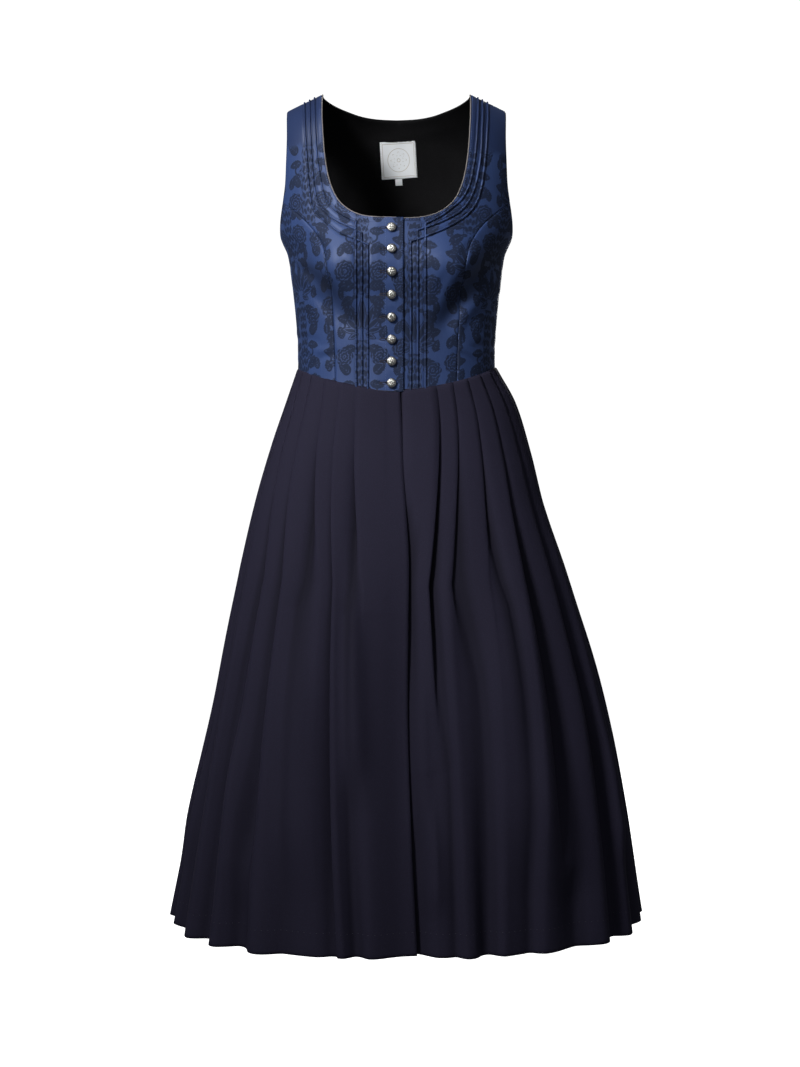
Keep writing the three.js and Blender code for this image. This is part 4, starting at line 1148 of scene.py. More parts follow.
def back_grids(offset_of, finer, columns):
    """Both halves of the back as points, faces and flat places, joined on the centre line."""
    points, faces, flats, heights, seen = [], [], [], [], {}
    for side in (-1, 1):
        inner, outer = back_edges(finer)
        grid, normals, degrees, z = panel(side, inner, outer, columns, (0, -HALF_SEAM_DEGREES), finer)
        normals[: BODY_ROWS * finer + 1, 0, 0] = 0
        body = grid + normals * offset_of(side, grid, degrees, z)[..., None]
        first = sum(len(p) for p in points)
        quads = np.array(grid_faces(*body.shape[:2], flip=not faces_outward(body, normals), first=first))
        if side < 0:
            middle = np.arange(BODY_ROWS * finer + 1) * (columns + 1)
            seen = dict(enumerate(middle))
        else:
            swap = np.arange(first + body.shape[0] * body.shape[1])
            for i, place in seen.items():
                swap[first + i * (columns + 1)] = place
            quads = swap[quads]
        points.append(body.reshape(-1, 3))
        faces += quads.tolist()
        flats.append((torso_arc(180.0, degrees, z)).ravel())
        heights.append(z.ravel())
    return np.vstack(points), faces, np.concatenate(flats), np.concatenate(heights)


def drop_loose(points, faces, *values):
    """Leaves out points that no face uses."""
    used = np.unique(np.asarray(faces))
    place = np.full(len(points), -1)
    place[used] = np.arange(len(used))
    return points[used], place[np.asarray(faces)].tolist(), [v[used] for v in values]


def add_back():
    def offset_of(side, grid, degrees, z):
        roll = edge_roll(grid, ("outer", "top"))
        return CLOTH / 2 + back_creases(side, degrees, z) - roll

    points, faces, flat, z = back_grids(offset_of, **BACK_GRID)
    motif, line = damask(flat, z + BACK_UP)
    points, faces, (motif, line) = drop_loose(points, faces, motif, line)
    # the plain back straps, which also take the straps' painted shade
    plain = ease(np.clip((points[:, 2] - STRAP_PLAIN["back_start"]) / STRAP_PLAIN["back_run"], 0, 1))
    piece = add_piece(
        "cloth_back", points, faces, [DAMASK, LINING], "damask", ["bodice_back"],
        dict(motif=motif, fine_line=line, plain=plain),
    )
    thicken(piece, CLOTH)


# The lining's soft folds by place: world x and z, slope, half length, half width and height
LINING_FOLDS = dict(
    x=[-54, -78, 30, -30, 60, 8, -88, 74],
    z=[-20, -70, -22, -118, -60, -128, -110, -118],
    slope=[-58, 72, 12, -34, -70, 30, 64, -52],
    length=[34, 40, 44, 26, 34, 24, 30, 34],
    width=[8, 10, 6, 8, 9, 7, 8, 9],
    height=[2.2, 1.4, 1.4, 1.6, 1.2, 1.5, 1.2, 1.2],
)
LINING_FOLD_SHARE = 0.8
LINING_GAP = 0.3
LINING_THICKNESS = 1.0


def add_lining():
    def offset_of(side, grid, degrees, z):
        total = np.full(z.shape, -CLOTH / 2 - LINING_GAP)
        for row in rows_of(LINING_FOLDS):
            along, across = along_and_across(row, grid[..., 0], z)
            along, across = along / row["length"], across / row["width"]
            total -= row["height"] * LINING_FOLD_SHARE * np.exp(-(along**2) - across**2)
        return total

    points, faces, _, _ = back_grids(offset_of, **LINING_GRID)
    points, faces, _ = drop_loose(points, faces)
    piece = add_piece("cloth_lining", points, faces, [LINING], "lining", ["lining_back"])
    thicken(piece, LINING_THICKNESS)


# Sweeps: tucks, bindings, stitches and buttonholes
def sweep(path, normals, outline, closed=False):
    """Points and faces of an outline of (across, up) pairs carried along a path."""
    if closed:
        ahead = np.roll(path, -1, 0) - np.roll(path, 1, 0)
    else:
        ahead = np.gradient(path, axis=0)
    across = np.cross(ahead, normals)
    across /= np.linalg.norm(across, axis=1, keepdims=True)
    outline = np.asarray(outline, float)
    rings = (
        path[:, None]
        + across[:, None] * outline[None, :, :1]
        + normals[:, None] * outline[None, :, 1:]
    )
    count, size = rings.shape[:2]
    faces = []
    last = count if closed else count - 1
    for i in range(last):
        here, there = i * size, (i + 1) % count * size
        for k in range(size):
            m = (k + 1) % size
            faces.append([here + k, here + m, there + m, there + k])
    if not closed:
        faces.append(list(range(size))[::-1])
        faces.append([(count - 1) * size + k for k in range(size)])
    return rings.reshape(-1, 3), faces


def gather(parts):
    """One list of points and faces from several."""
    points, faces, count = [], [], 0
    for some_points, some_faces in parts:
        points.append(some_points)
        faces += [[k + count for k in face] for face in some_faces]
        count += len(some_points)
    return np.vstack(points), faces


def half_round(half, height, count=6):
    turn = np.linspace(0, np.pi, count)
    return np.column_stack([half * np.cos(turn), height * np.sin(turn) ** 0.9])


def round_bar(half, height, count=6):
    turn = np.linspace(0, 2 * np.pi, count, endpoint=False)
    return np.column_stack([half * np.cos(turn), height * np.sin(turn)])


def front_lift(side, x):
    return placket_offset(x) if side < 0 else np.zeros_like(x)


def tuck_paths(side):
    """World x and z along each tuck of a side."""
    paths = []
    for rows in NECK_TUCKS[side]:
        x, z = along_edge(rows, 200)
        z[0] = min(z[0], shoulder_height(x[0]) - TUCK_SHAPE["shoulder_gap"])
        paths.append((side * x, z))
    upright = UPRIGHT_TUCKS[side]
    for x, top_z in zip(upright["x"], upright["top_z"]):
        bottom = float(waist_z(torso_angle(x, WAIST["side_z"]))) + TUCK_SHAPE["waist_gap"]
        z = np.linspace(top_z, bottom, 150)
        paths.append((np.full(z.shape, float(side * x)), z))
    return paths


# A corded tuck: half width, height, how far it sinks into the cloth and wanders, and its ends' clearances
TUCK_SHAPE = dict(
    half=1.35, height=2.0, sink=0.2, wander=0.1, wave=9, shoulder_gap=4, waist_gap=1.2, blur=0.6
)


def add_tucks(side):
    parts, flat, height = [], [], []
    outline = half_round(TUCK_SHAPE["half"], TUCK_SHAPE["height"])
    for x, z in tuck_paths(side):
        wander = TUCK_SHAPE["wander"] * np.sin(z / TUCK_SHAPE["wave"] + x)
        path, normals = on_front(x, z, CLOTH / 2 - TUCK_SHAPE["sink"] + front_lift(side, x))
        path = path + normals * creases(path)[..., None]
        parts.append(sweep(path + np.cross(normals, [0, 0, 1.0]) * wander[:, None], normals, outline))
        degrees = torso_angle(np.abs(x), z)
        flat.append(np.repeat(torso_arc(0.0, degrees, z), len(outline)))
        height.append(np.repeat(z, len(outline)))
    points, faces = gather(parts)
    up = np.concatenate(height) - FRONT_LIFT[side] + FRONT_UP
    attributes = weave_attributes(points, np.concatenate(flat) - FRONT_GRAIN[side], up)
    attributes["motif"] = attributes["motif"] - TUCK_SHAPE["blur"]
    name = side_name(side)
    add_piece(f"corded_tucks_{name}", points, faces, [DAMASK], "damask", [f"tucks_{name}"], attributes)


# Where a line of stitches starts, and how each stitch dips into the cloth at its ends
STITCH_START = 0.6
STITCH_RISE = [-0.3, 0.05, 0.05, -0.3]


def stitches(x, z, lift, length, gap, half=0.28, height=0.32):
    """Short raised stitches along a line of world x and z on the front."""
    path, normals = on_front(x, z, lift)
    run = run_length(path)
    outline = round_bar(half, height, 5)
    parts = []
    rise = np.array(STITCH_RISE)[:, None]
    for start in np.arange(STITCH_START, run[-1] - length, length + gap):
        at = np.linspace(start, start + length, len(rise))
        some, out = sampled(at, run, path), sampled(at, run, normals)
        parts.append(sweep(some + out * rise, out, outline))
    return parts


def neck_line(side, inset):
    """World x and z along the front neckline, from the centre to the shoulder, moved into the cloth."""
    x, z = along_edge(FRONT_NECK, 240)
    turn = np.stack([np.gradient(x), np.gradient(z)], 1)
    turn /= np.linalg.norm(turn, axis=1, keepdims=True)
    return side * (x + turn[:, 1] * inset), z - turn[:, 0] * inset


# The binding on the neck's edge, and the line of stitches below it
NECK_BINDING = dict(inset=0.1, sink=0.1, half=0.75, height=0.95)
NECK_STITCH = dict(inset=2.6, lift=0.15, length=2.1, gap=1.2)
NECK_STITCH_SPAN = slice(4, -4)


def add_neck_edge():
    parts, seams = [], []
    outline = round_bar(NECK_BINDING["half"], NECK_BINDING["height"], 8)
    for side in (-1, 1):
        x, z = neck_line(side, NECK_BINDING["inset"])
        lift = front_lift(side, x) - NECK_BINDING["sink"]
        path, normals = on_front(x[:-1], z[:-1], lift[:-1])
        parts.append(sweep(path, normals, outline))
        x, z = (line[NECK_STITCH_SPAN] for line in neck_line(side, NECK_STITCH["inset"]))
        lift = CLOTH / 2 + front_lift(side, x) + NECK_STITCH["lift"]
        seams += stitches(x, z, lift, NECK_STITCH["length"], NECK_STITCH["gap"])
    add_piece("neck_binding", *gather(parts), [TAUPE_THREAD], "lining")
    add_piece("neck_stitches", *gather(seams), [BLUE_THREAD], "damask")


SHOULDER_SEAM = dict(outer_x=148.6, sink=0.15, half=1.5, height=0.7)


def add_shoulder_seams():
    """The pressed fold of cloth that closes each shoulder seam between the straps."""
    parts = []
    x = np.linspace(SHOULDER["neck_x"] + 0.4, SHOULDER_SEAM["outer_x"], 40)
    for side in (-1, 1):
        path = np.column_stack([side * x, np.zeros(len(x)), shoulder_height(x) - SHOULDER_SEAM["sink"]])
        up = np.array([side * SHOULDER["slope"], 0, 1.0])
        normals = np.tile(up / np.linalg.norm(up), (len(x), 1))
        parts.append(sweep(path, normals, round_bar(SHOULDER_SEAM["half"], SHOULDER_SEAM["height"], 10)))
    points, faces = gather(parts)
    count = len(points)
    # plain cloth, which also takes the straps' painted shade
    plain = dict(motif=np.full(count, NO_MOTIF), fine_line=np.full(count, NO_LINE), plain=np.ones(count))
    add_piece("shoulder_seams", points, faces, [DAMASK], "damask", (), plain)


# Two lines of stitches, by distance from the placket's edge
PLACKET_STITCH = dict(insets=[2.2, 24], lift=0.12, shape=dict(length=2.2, gap=1.3, half=0.24, height=0.26))


def add_placket_stitches():
    parts = []
    z = np.linspace(float(waist_z(0)) + 2, FRONT_NECK["z"][0] - 4, 200)
    for inset in PLACKET_STITCH["insets"]:
        x = np.full(z.shape, float(PLACKET["edge"] - inset))
        lift = CLOTH / 2 + placket_offset(x) + PLACKET_STITCH["lift"]
        parts += stitches(x, z, lift, **PLACKET_STITCH["shape"])
    add_piece("placket_stitches", *gather(parts), [BLUE_THREAD], "damask")


WAIST_EDGE = dict(up=0.9, sink=0.35, half=0.7, height=0.75)


def add_waist_piping():
    """A narrow turned edge where the bodice is sewn to the skirt."""
    parts = []
    outline = round_bar(WAIST_EDGE["half"], WAIST_EDGE["height"], 6)
    degrees = np.linspace(0, 180, 260)
    z = waist_z(degrees) + WAIST_EDGE["up"]
    for side in (-1, 1):
        path, normals = torso_point(side, degrees, z), torso_normal(side, degrees, z)
        lift = CLOTH / 2 - WAIST_EDGE["sink"] + front_lift(side, path[:, 0]) * (path[:, 1] < 0)
        parts.append(sweep(path + normals * lift[:, None], normals, outline))
    add_piece("waist_seam_edge", *gather(parts), [NAVY_THREAD], "damask")


# A buttonhole: middle, half length, half width and corner power, its thread, and the dark slit that shows
BUTTONHOLE = dict(x=-13.2, half=8.4, tall=1.25, corner=0.45, points=56, lift=0.1, thread=(0.55, 0.5))
SLIT = dict(from_x=-14.6, to_x=-5.8, lift=-0.05, half=(0.75, 0.22))


def placket_path(x, z, lift):
    """Points and normals on the right front's placket, with the pull of the buttons."""
    pull = button_pulls(np.stack([x, x, z], -1))
    return on_front(x, z, CLOTH / 2 + placket_offset(x) + lift + pull)


def add_buttonholes():
    slits, rings = [], []
    hole = BUTTONHOLE
    for z in button_heights():
        turn = np.linspace(0, 2 * np.pi, hole["points"], endpoint=False)
        x = hole["x"] + hole["half"] * np.sign(np.cos(turn)) * np.abs(np.cos(turn)) ** hole["corner"]
        path, normals = placket_path(x, z + hole["tall"] * np.sin(turn), hole["lift"])
        rings.append(sweep(path, normals, round_bar(*hole["thread"], 6), closed=True))
        x = np.linspace(SLIT["from_x"], SLIT["to_x"], 12)
        path, normals = placket_path(x, np.full(x.shape, z), SLIT["lift"])
        slits.append(sweep(path, normals, round_bar(*SLIT["half"], 6)))
    add_piece("buttonhole_threads", *gather(rings), [NAVY_THREAD], "damask")
    add_piece("buttonhole_slits", *gather(slits), [LINING], "lining")


# A button's profile: dome, rim and back, and the relief's heights, places and widths as shares of the radius
BUTTON_DOME = dict(
    fall=1.7, power=2.4, rim_place=0.86, rim_fall=4.8, back=2.4, back_wear=0.4, turns=80, rings=30
)
BUTTON_RELIEF = dict(
    height=[0.62, -0.24, 0.5, 0.5, 0.24],
    place=[0.5, 0.5, 0, 0.88, 0.74],
    width=[0.2, 0.16, 0.17, 0.07, 0.035],
)
# The rings of the back: shares of the radius and of the back's depth
BUTTON_BACK = dict(share=[1.0, 0.97, 0.6, 0.52, 0.3, 0], depth=[0.45, 0.7, 0.8, 1.0, 1.0, 1.0])
BUTTON_BASE = -0.34
BUTTON_FORMS = dict(petals=4, rounding=0.7, vein=9, beads=11, twist=1.6)
BUTTON_WEAR = dict(slope=0.9, start=0.42)


def button_shape():
    """A domed button: petals and their veins, a boss, a beaded rim and a ring, and a flat back."""
    radius, dome = BUTTON["radius"], BUTTON_DOME
    share = np.concatenate([np.linspace(0, 1, dome["rings"]), BUTTON_BACK["share"]])
    back = np.concatenate([np.zeros(dome["rings"]), BUTTON_BACK["depth"]])
    turn = np.linspace(0, 2 * np.pi, dome["turns"], endpoint=False)
    r, t = np.meshgrid(share, turn, indexing="ij")
    under = np.repeat(back[:, None], len(turn), 1)
    form = BUTTON_FORMS
    forms = [
        np.abs(np.cos(form["petals"] * t)) ** form["rounding"],
        np.exp(-((np.sin(form["petals"] * t + np.pi / 2) * r * form["vein"]) ** 2)),
        1,
        0.6 + 0.4 * np.cos(form["beads"] * (2 * t + form["twist"] * r)),
        1,
    ]
    relief = BUTTON_BASE
    for turned, row in zip(forms, rows_of(BUTTON_RELIEF)):
        relief = relief + row["height"] * turned * np.exp(-(((r - row["place"]) / row["width"]) ** 2))
    rim = dome["rim_fall"] * np.clip(r - dome["rim_place"], 0, 1)
    top = BUTTON["height"] - dome["fall"] * r ** dome["power"] - rim
    h = np.where(under > 0, (1 - under) * dome["back"], top + relief * (1 - r**12))
    points = np.stack([radius * r * np.cos(t), radius * r * np.sin(t), h], -1)
    wear = np.clip(relief * BUTTON_WEAR["slope"] + BUTTON_WEAR["start"], 0, 1)
    return points, np.where(under > 0, dome["back_wear"], wear)


# Each button is turned on its shank by this many degrees more than the one above
BUTTON_SPIN = 11


def add_buttons():
    shape, wear = button_shape()
    rows, columns = shape.shape[:2]
    faces = []
    for i in range(rows - 1):
        for k in range(columns):
            m = (k + 1) % columns
            faces.append([i * columns + k, i * columns + m, (i + 1) * columns + m, (i + 1) * columns + k])
    for i, z in enumerate(button_heights()):
        middle, out = on_front(np.float64(BUTTON["x"]), z, CLOTH / 2 + PLACKET["lift"] + BUTTON["lift"])
        across = np.cross([0, 0, 1.0], out)
        across /= np.linalg.norm(across)
        up = np.cross(out, across)
        spin = math.radians(BUTTON_SPIN * i)
        a = across * math.cos(spin) + up * math.sin(spin)
        b = -across * math.sin(spin) + up * math.cos(spin)
        points = middle + shape[..., :1] * a + shape[..., 1:2] * b + shape[..., 2:] * out
        add_piece(
            f"silver_button_{i + 1}", points.reshape(-1, 3), faces, [SILVER], "silver",
            [f"button_{i + 1}"], dict(relief=wear),
        )


# Label and size tab on the lining
def label_place(along, down, centre_x, top_z):
    """Points on the lining's inside from places across and down a label."""
    return on_body(centre_x + along + down * LABEL["lean"], top_z - down + along * LABEL["lean"], True)


LABEL_THICKNESS = 0.8
LABEL_DEPTH = -CLOTH / 2 - LINING_GAP - LINING_THICKNESS - LABEL_THICKNESS


# The label's plain woven marks: distance of the border, and radii of the rosette and its rings
ROSETTE = dict(border=3.2, radius=8.6, swell=2.6, lobes=8, ring=15.5, eye=2.2)
NO_MARK = 9.0
LABEL_PUFF = dict(edge=0.5, edge_width=1.2, wave=0.35, across=9, down=13)
LABEL_STITCH = dict(half=0.26, height=0.3, inset=1.2, spacing=3.1, sink=0.35, span=(0.1, 0.75))


def add_label():
    top_z = LABEL["z"] + LABEL["height"] / 2
    tab_top_z = top_z - LABEL["height"] - LINING_GAP
    sizes = [
        ("woven_label", "label", LABEL["x"], top_z, LABEL["width"], LABEL["height"], 90),
        ("woven_size_tab", "size_tab", SIZE_TAB["x"], tab_top_z, SIZE_TAB["width"], SIZE_TAB["height"], 24),
    ]
    for name, replaced, centre_x, top, width, height, count in sizes:
        along = np.linspace(-width / 2, width / 2, count)
        down = np.linspace(0, height, count)
        along, down = np.meshgrid(along, down)
        points, normals = label_place(along, down, centre_x, top)
        middle = down - height / 2
        border = np.minimum(width / 2 - np.abs(along), height / 2 - np.abs(middle))
        mark = np.full(border.shape, NO_MARK)
        if name == "woven_label":
            away = np.hypot(along, middle)
            lobes = ROSETTE["swell"] * np.cos(ROSETTE["lobes"] * np.arctan2(middle, along))
            mark = np.abs(border - ROSETTE["border"])
            for ring in (ROSETTE["radius"] + lobes, ROSETTE["ring"], ROSETTE["eye"]):
                mark = np.minimum(mark, np.abs(away - ring))
        edge = LABEL_PUFF["edge"] * np.exp(-((border / LABEL_PUFF["edge_width"]) ** 2))
        wave = np.sin(along / LABEL_PUFF["across"] + 1) * np.sin(down / LABEL_PUFF["down"])
        puff = edge + LABEL_PUFF["wave"] * wave
        body = points + normals * (LABEL_DEPTH + puff)[..., None]
        piece = add_grid(name, body, -normals, [WOVEN_LABEL], "label", replaced, dict(mark=mark))
        thicken(piece, LABEL_THICKNESS)
    add_label_stitches(top_z)


def add_label_stitches(top_z):
    """Small stitches round three sides of the label."""
    parts = []
    outline = round_bar(LABEL_STITCH["half"], LABEL_STITCH["height"], 5)
    inset = LABEL_STITCH["inset"]
    half, tall = LABEL["width"] / 2 - inset, LABEL["height"] - inset
    sides = [((-half, inset), (half, inset)), ((-half, inset), (-half, tall)), ((half, inset), (half, tall))]
    for (a0, d0), (a1, d1) in sides:
        steps = int(math.hypot(a1 - a0, d1 - d0) / LABEL_STITCH["spacing"])
        for i in range(steps):
            start, end = LABEL_STITCH["span"]
            q = np.linspace(i + start, i + end, 4) / steps
            points, normals = label_place(lerp(a0, a1, q), lerp(d0, d1, q), LABEL["x"], top_z)
            rise = LABEL_DEPTH - LABEL_STITCH["sink"] - np.array([-0.3, 0, 0, -0.3])
            parts.append(sweep(points + normals * rise[:, None], -normals, outline))
    add_piece("label_stitches", *gather(parts), [WHITE_THREAD], "label")


# Skirt
KNEE_FALL, LOW_FALL = 0.36, 0.68
HIP_FALL = 0.13
# The skirt's top edge is turned up inside the bodice
SEAM_ALLOWANCE = dict(up=4.0, inward=2.6)
SIDE_SEAM_COLUMN = 36
# The degrees of a section from the centre front to the side
FRONT_QUARTER = slice(0, 91)
SKIRT_ROWS = 150
FINER_COLUMNS = 4


def section_at(side, fall, degrees):
    t = np.radians(degrees)
    squarer = 1 + SQUARENESS * np.sin(2 * t) ** 2
    right, left, front, back = (
        float(smooth(SKIRT, "fall", column, fall)) for column in ("right", "left", "front", "back")
    )
    wide = np.where(side * np.sin(t) < 0, right, left)
    deep = np.where(np.cos(t) > 0, front, back)
    return np.stack([side * wide * squarer * np.sin(t), -deep * squarer * np.cos(t)], -1)


class Section:
    """Arc length round one half of a skirt section."""

    def __init__(self, side, fall):
        self.side, self.fall = side, fall
        self.degrees = np.arange(181.0)
        self.points = section_at(side, fall, self.degrees)
        self.arcs = run_length(self.points)
        self.half = self.arcs[-1]

    def angle(self, arc):
        arc = np.asarray(arc, float)
        return np.where(arc <= 0, arc / self.arcs[1], np.interp(arc, self.arcs, self.degrees))

    def arc_at_x(self, x):
        return float(np.interp(x, np.abs(self.points[FRONT_QUARTER, 0]), self.arcs[FRONT_QUARTER]))


def fold_places(side, folds):
    waist, knee, hem = Section(side, 0), Section(side, KNEE_FALL), Section(side, 1)
    places = []
    for k, place in enumerate(rows_of(folds)):
        place["waist"] = (PLEAT["first"] + k * PLEAT["pitch"]) / waist.half
        place["knee"] = knee.arc_at_x(place["knee"]) / knee.half
        place["hem"] = hem.arc_at_x(place["hem"]) / hem.half
        places.append(place)
    start = places[-1]
    count = PLEAT["per_side"] - len(places)
    kinds = rows_of(FOLDS_ROUND)
    for k in range(1, count + 1):
        kind = dict(kinds[k % len(kinds)])
        q = k / (count + 0.7)
        kind["waist"] = (PLEAT["first"] + (k + 4) * PLEAT["pitch"]) / waist.half
        kind["knee"] = lerp(start["knee"], 1, q) + kind["drift"] / knee.half
        kind["hem"] = lerp(start["hem"], 1, q) + kind["drift"] * 1.6 / hem.half
        places.append(kind)
    return places


def fold_share(place, fall):
    if fall < KNEE_FALL:
        return lerp(place["waist"], place["knee"], fall / KNEE_FALL)
    return lerp(place["knee"], place["hem"], (fall - KNEE_FALL) / (1 - KNEE_FALL))


def fold_depth(place, fall):
    falls = [0, HIP_FALL, KNEE_FALL, LOW_FALL, 1]
    depths = [place[key] for key in ("hip_depth", "knee_depth", "low_depth", "hem_depth")]
    return float(np.interp(fall, falls, [PLEAT["least_depth"]] + depths))


# How a pleat opens into a wave: how far a closed one reaches under its neighbour and an open one past its
# top, as shares of the pitch, how fast it opens, and how far open it may be and still keep its least depth
OPENING = dict(closed_reach=0.85, open_reach=0.4, rate=1.6, start=0.1, keep_depth=1.6)
# The turns of a fold: the fall at which they are fully rounded, their largest width, the same as a share of
# the pitch, the share on the inside, and the layer's growth with the width and largest share of the depth
TURN = dict(full_fall=0.7, widest=9, of_pitch=0.12, inside=0.6, layer_growth=0.1, of_depth=0.26)
# The face between two folds: places and rises of its points, high and early where the pleats are pressed
FACE = dict(
    first=0.3, pressed_place=0.38, open_place=0.6, pressed_rise=0.88, open_rise=0.62, open_fall=0.5,
    reach_rise=0.03, layers=2.2, late_share=0.5, late_fall=0.3,
)
# The centre-front edges and the centre back: heights off the section, and places
CENTRE = dict(height=2.2, under_height=1.2, underlap=15, past_last=1.02, back_place=0.6, back_height=1)


def skirt_profile(side, places, fall, section):
    """Arc length and height of a skirt section. A closed pleat is a Z of three layers, an open one a wave."""
    if side < 0:
        last_arc, last_height = -float(smooth(SKIRT_EDGE, "fall", "x", fall)), CENTRE["height"]
    else:
        behind = float(smooth(SKIRT_EDGE, "fall", "behind", fall))
        last_arc, last_height = -CENTRE["underlap"], CENTRE["under_height"] - behind
    profile = [(last_arc, last_height)]
    bend = ease(min(1, fall / FACE["open_fall"]))
    for k, place in enumerate(places):
        arc = fold_share(place, fall) * section.half
        following = fold_share(places[k + 1], fall) if k < len(places) - 1 else CENTRE["past_last"]
        pitch = following * section.half - arc
        opened = min(2, max(0, fall / place["opens"]))
        if opened < 1:
            reach = -min(PLEAT["underlap"], pitch * OPENING["closed_reach"]) * (1 - opened)
        else:
            reach = pitch * OPENING["open_reach"] * min(1, (opened - 1) * OPENING["rate"] + OPENING["start"])
        spread = ease(min(1, fall / TURN["full_fall"])) * min(TURN["widest"], pitch * TURN["of_pitch"])
        needed = FACE["layers"] * PLEAT["layer"] / (1 + reach / (pitch - reach)) if reach < 0 else 0
        least = PLEAT["least_depth"] if opened < OPENING["keep_depth"] else 0
        depth = max(fold_depth(place, fall), needed, least)
        top = depth / 2
        layer = min(PLEAT["layer"] + spread * TURN["layer_growth"], depth * TURN["of_depth"])
        late = FACE["late_share"] * ease(min(1, fall / FACE["late_fall"])) if k == 0 and side > 0 else 0
        if k == 0:
            first = FACE["first"]
            profile.append((lerp(last_arc, arc - spread, first), lerp(last_height, top, first * (1 - late))))
        share = lerp(FACE["pressed_rise"], FACE["open_rise"], bend) * (1 - late)
        rise = lerp(last_height, top, share) + max(0, reach) * FACE["reach_rise"]
        profile += [
            (lerp(last_arc, arc - spread, lerp(FACE["pressed_place"], FACE["open_place"], bend)), rise),
            (arc - spread, top),
            (arc + spread * TURN["inside"], top - layer),
            (arc + reach - spread * TURN["inside"], layer - top),
            (arc + reach + spread, -top),
        ]
        last_arc, last_height = arc + reach + spread, -top
    profile.append((lerp(last_arc, section.half, CENTRE["back_place"]), 0))
    profile.append((section.half, CENTRE["back_height"]))
    return np.array(profile) + [0, PLEAT["stack_shift"] * (1 - fall)]


# A ridge's width from top to bottom, as shares, and where along it its ends have faded
RIDGE_SHAPE = dict(
    front=40, top_width=0.55, growth=0.5, least=0.3, most=1.2, risen=0.6, end=1.1, end_fade=0.3
)


def ridge_height(x, y, z):
    """Broad rounded ridges that end above the hem."""
    shape = RIDGE_SHAPE
    total = np.zeros(x.shape)
    front = np.clip(-y / shape["front"], 0, 1)
    for ridge in rows_of(RIDGES):
        q = (z - ridge["top_z"]) / (ridge["low_z"] - ridge["top_z"])
        centre = lerp(ridge["top_x"], ridge["low_x"], q)
        share = np.clip(shape["top_width"] + shape["growth"] * q, shape["least"], shape["most"])
        width = ridge["width"] * share
        start = ease(np.clip(q / shape["risen"], 0, 1))
        ends = start * ease(np.clip((shape["end"] - q) / shape["end_fade"], 0, 1))
        total += ridge["height"] * np.exp(-(((x - centre) / width) ** 2)) * ends * front
    return total


# Two crossing ripples: length round the skirt, drift down it, phase, falls between crests, and slant
RIPPLES = dict(
    height=[1.0, 0.6], length=[31, 17], drift=[5.1, -3.7], phase=[1, 2], crests=[9, 14], slant=[57, 71]
)
RIPPLE_DEPTH = 0.7
RIPPLE_START, RIPPLE_RUN = 0.1, 0.5


def small_ripples(side, arc, fall):
    """Uneven soft dents of hanging cloth."""
    wave = 0
    for row in rows_of(RIPPLES):
        round_it = np.sin(arc / row["length"] + row["drift"] * fall + row["phase"] * side)
        wave = wave + row["height"] * round_it * np.sin(fall * row["crests"] + arc / row["slant"])
    return wave * RIPPLE_DEPTH * ease(np.clip((fall - RIPPLE_START) / RIPPLE_RUN, 0, 1))


# How far the fronts sink at the opening, from which fall, and from where to where beside it
CENTRE_TURN = dict(depth=14, start=0.22, run=0.4, right=42, right_run=54, left=66, left_run=40)


def centre_turn(side, arc, fall):
    """Both fronts sink back towards the opening, more so lower down."""
    turn = CENTRE_TURN
    low = ease(np.clip((fall - turn["start"]) / turn["run"], 0, 1))
    place = side * arc
    from_right = ease(np.clip((place + turn["right"]) / turn["right_run"], 0, 1))
    from_left = ease(np.clip((turn["left"] - place) / turn["left_run"], 0, 1))
    return -turn["depth"] * low * np.minimum(from_right, from_left)


# How round the folds' turns are drawn at the top, and the fall from which they are fully round
SOFTNESS = dict(top=0.25, full_fall=0.45)


def skirt_half(side):
    """A grid of points of one half, rows from the waist seam to the hem."""
    places = fold_places(side, FOLDS_RIGHT if side < 0 else FOLDS_LEFT)
    share = np.linspace(0, 1, SKIRT_ROWS)
    rows, shades = [], []
    for fall in share:
        section = Section(side, fall)
        profile = skirt_profile(side, places, fall, section)
        softness = lerp(SOFTNESS["top"], 1, ease(min(1, fall / SOFTNESS["full_fall"])))
        curve = through(profile, FINER_COLUMNS, softness)
        shades.append(fold_shadow(curve[:, 1], fall))
        arc, height = curve[:, 0], curve[:, 1] + small_ripples(side, curve[:, 0], fall)
        degrees = section.angle(arc)
        point = section_at(side, fall, degrees)
        ahead = section_at(side, fall, degrees + 0.5) - section_at(side, fall, degrees - 0.5)
        ahead /= np.linalg.norm(ahead, axis=1, keepdims=True)
        outward = np.stack([ahead[:, 1], -ahead[:, 0]], -1) * side
        z = lerp(waist_z(degrees) - WAIST["gap"], HEM_Z, fall)
        height = height + ridge_height(point[:, 0], point[:, 1], z) + centre_turn(side, arc, fall)
        flat = point + outward * height[:, None]
        rows.append(np.column_stack([flat, z]))
        if fall == 0:
            allowance = point + outward * (height[:, None] - SEAM_ALLOWANCE["inward"])
            rows.insert(0, np.column_stack([allowance, z + SEAM_ALLOWANCE["up"]]))
            shades.insert(0, shades[0])
    return np.array(rows), np.array(shades)


# The shade in the folds: height at which it starts, height over which it deepens, and how it fades downward
FOLD_SHADOW = dict(height=0.6, run=3.4, fade=0.75, fade_fall=0.7)


def fold_shadow(height, fall):
    """Share of the shade in the valleys between folds, strong where the folds lie close."""
    shadow = FOLD_SHADOW
    close = 1 - shadow["fade"] * ease(min(1, fall / shadow["fade_fall"]))
    return ease(np.clip((shadow["height"] - height) / shadow["run"], 0, 1)) * close


def add_skirt_piece(name, grid, shade, replaced):
    piece = add_grid(name, grid, grid * [1, 1, 0], [NAVY], "skirt", replaced, dict(painted_fold_shade=shade))
    wall = piece.modifiers.new("wall", "SOLIDIFY")
    wall.thickness = SKIRT_CLOTH * MM
    wall.offset = 0


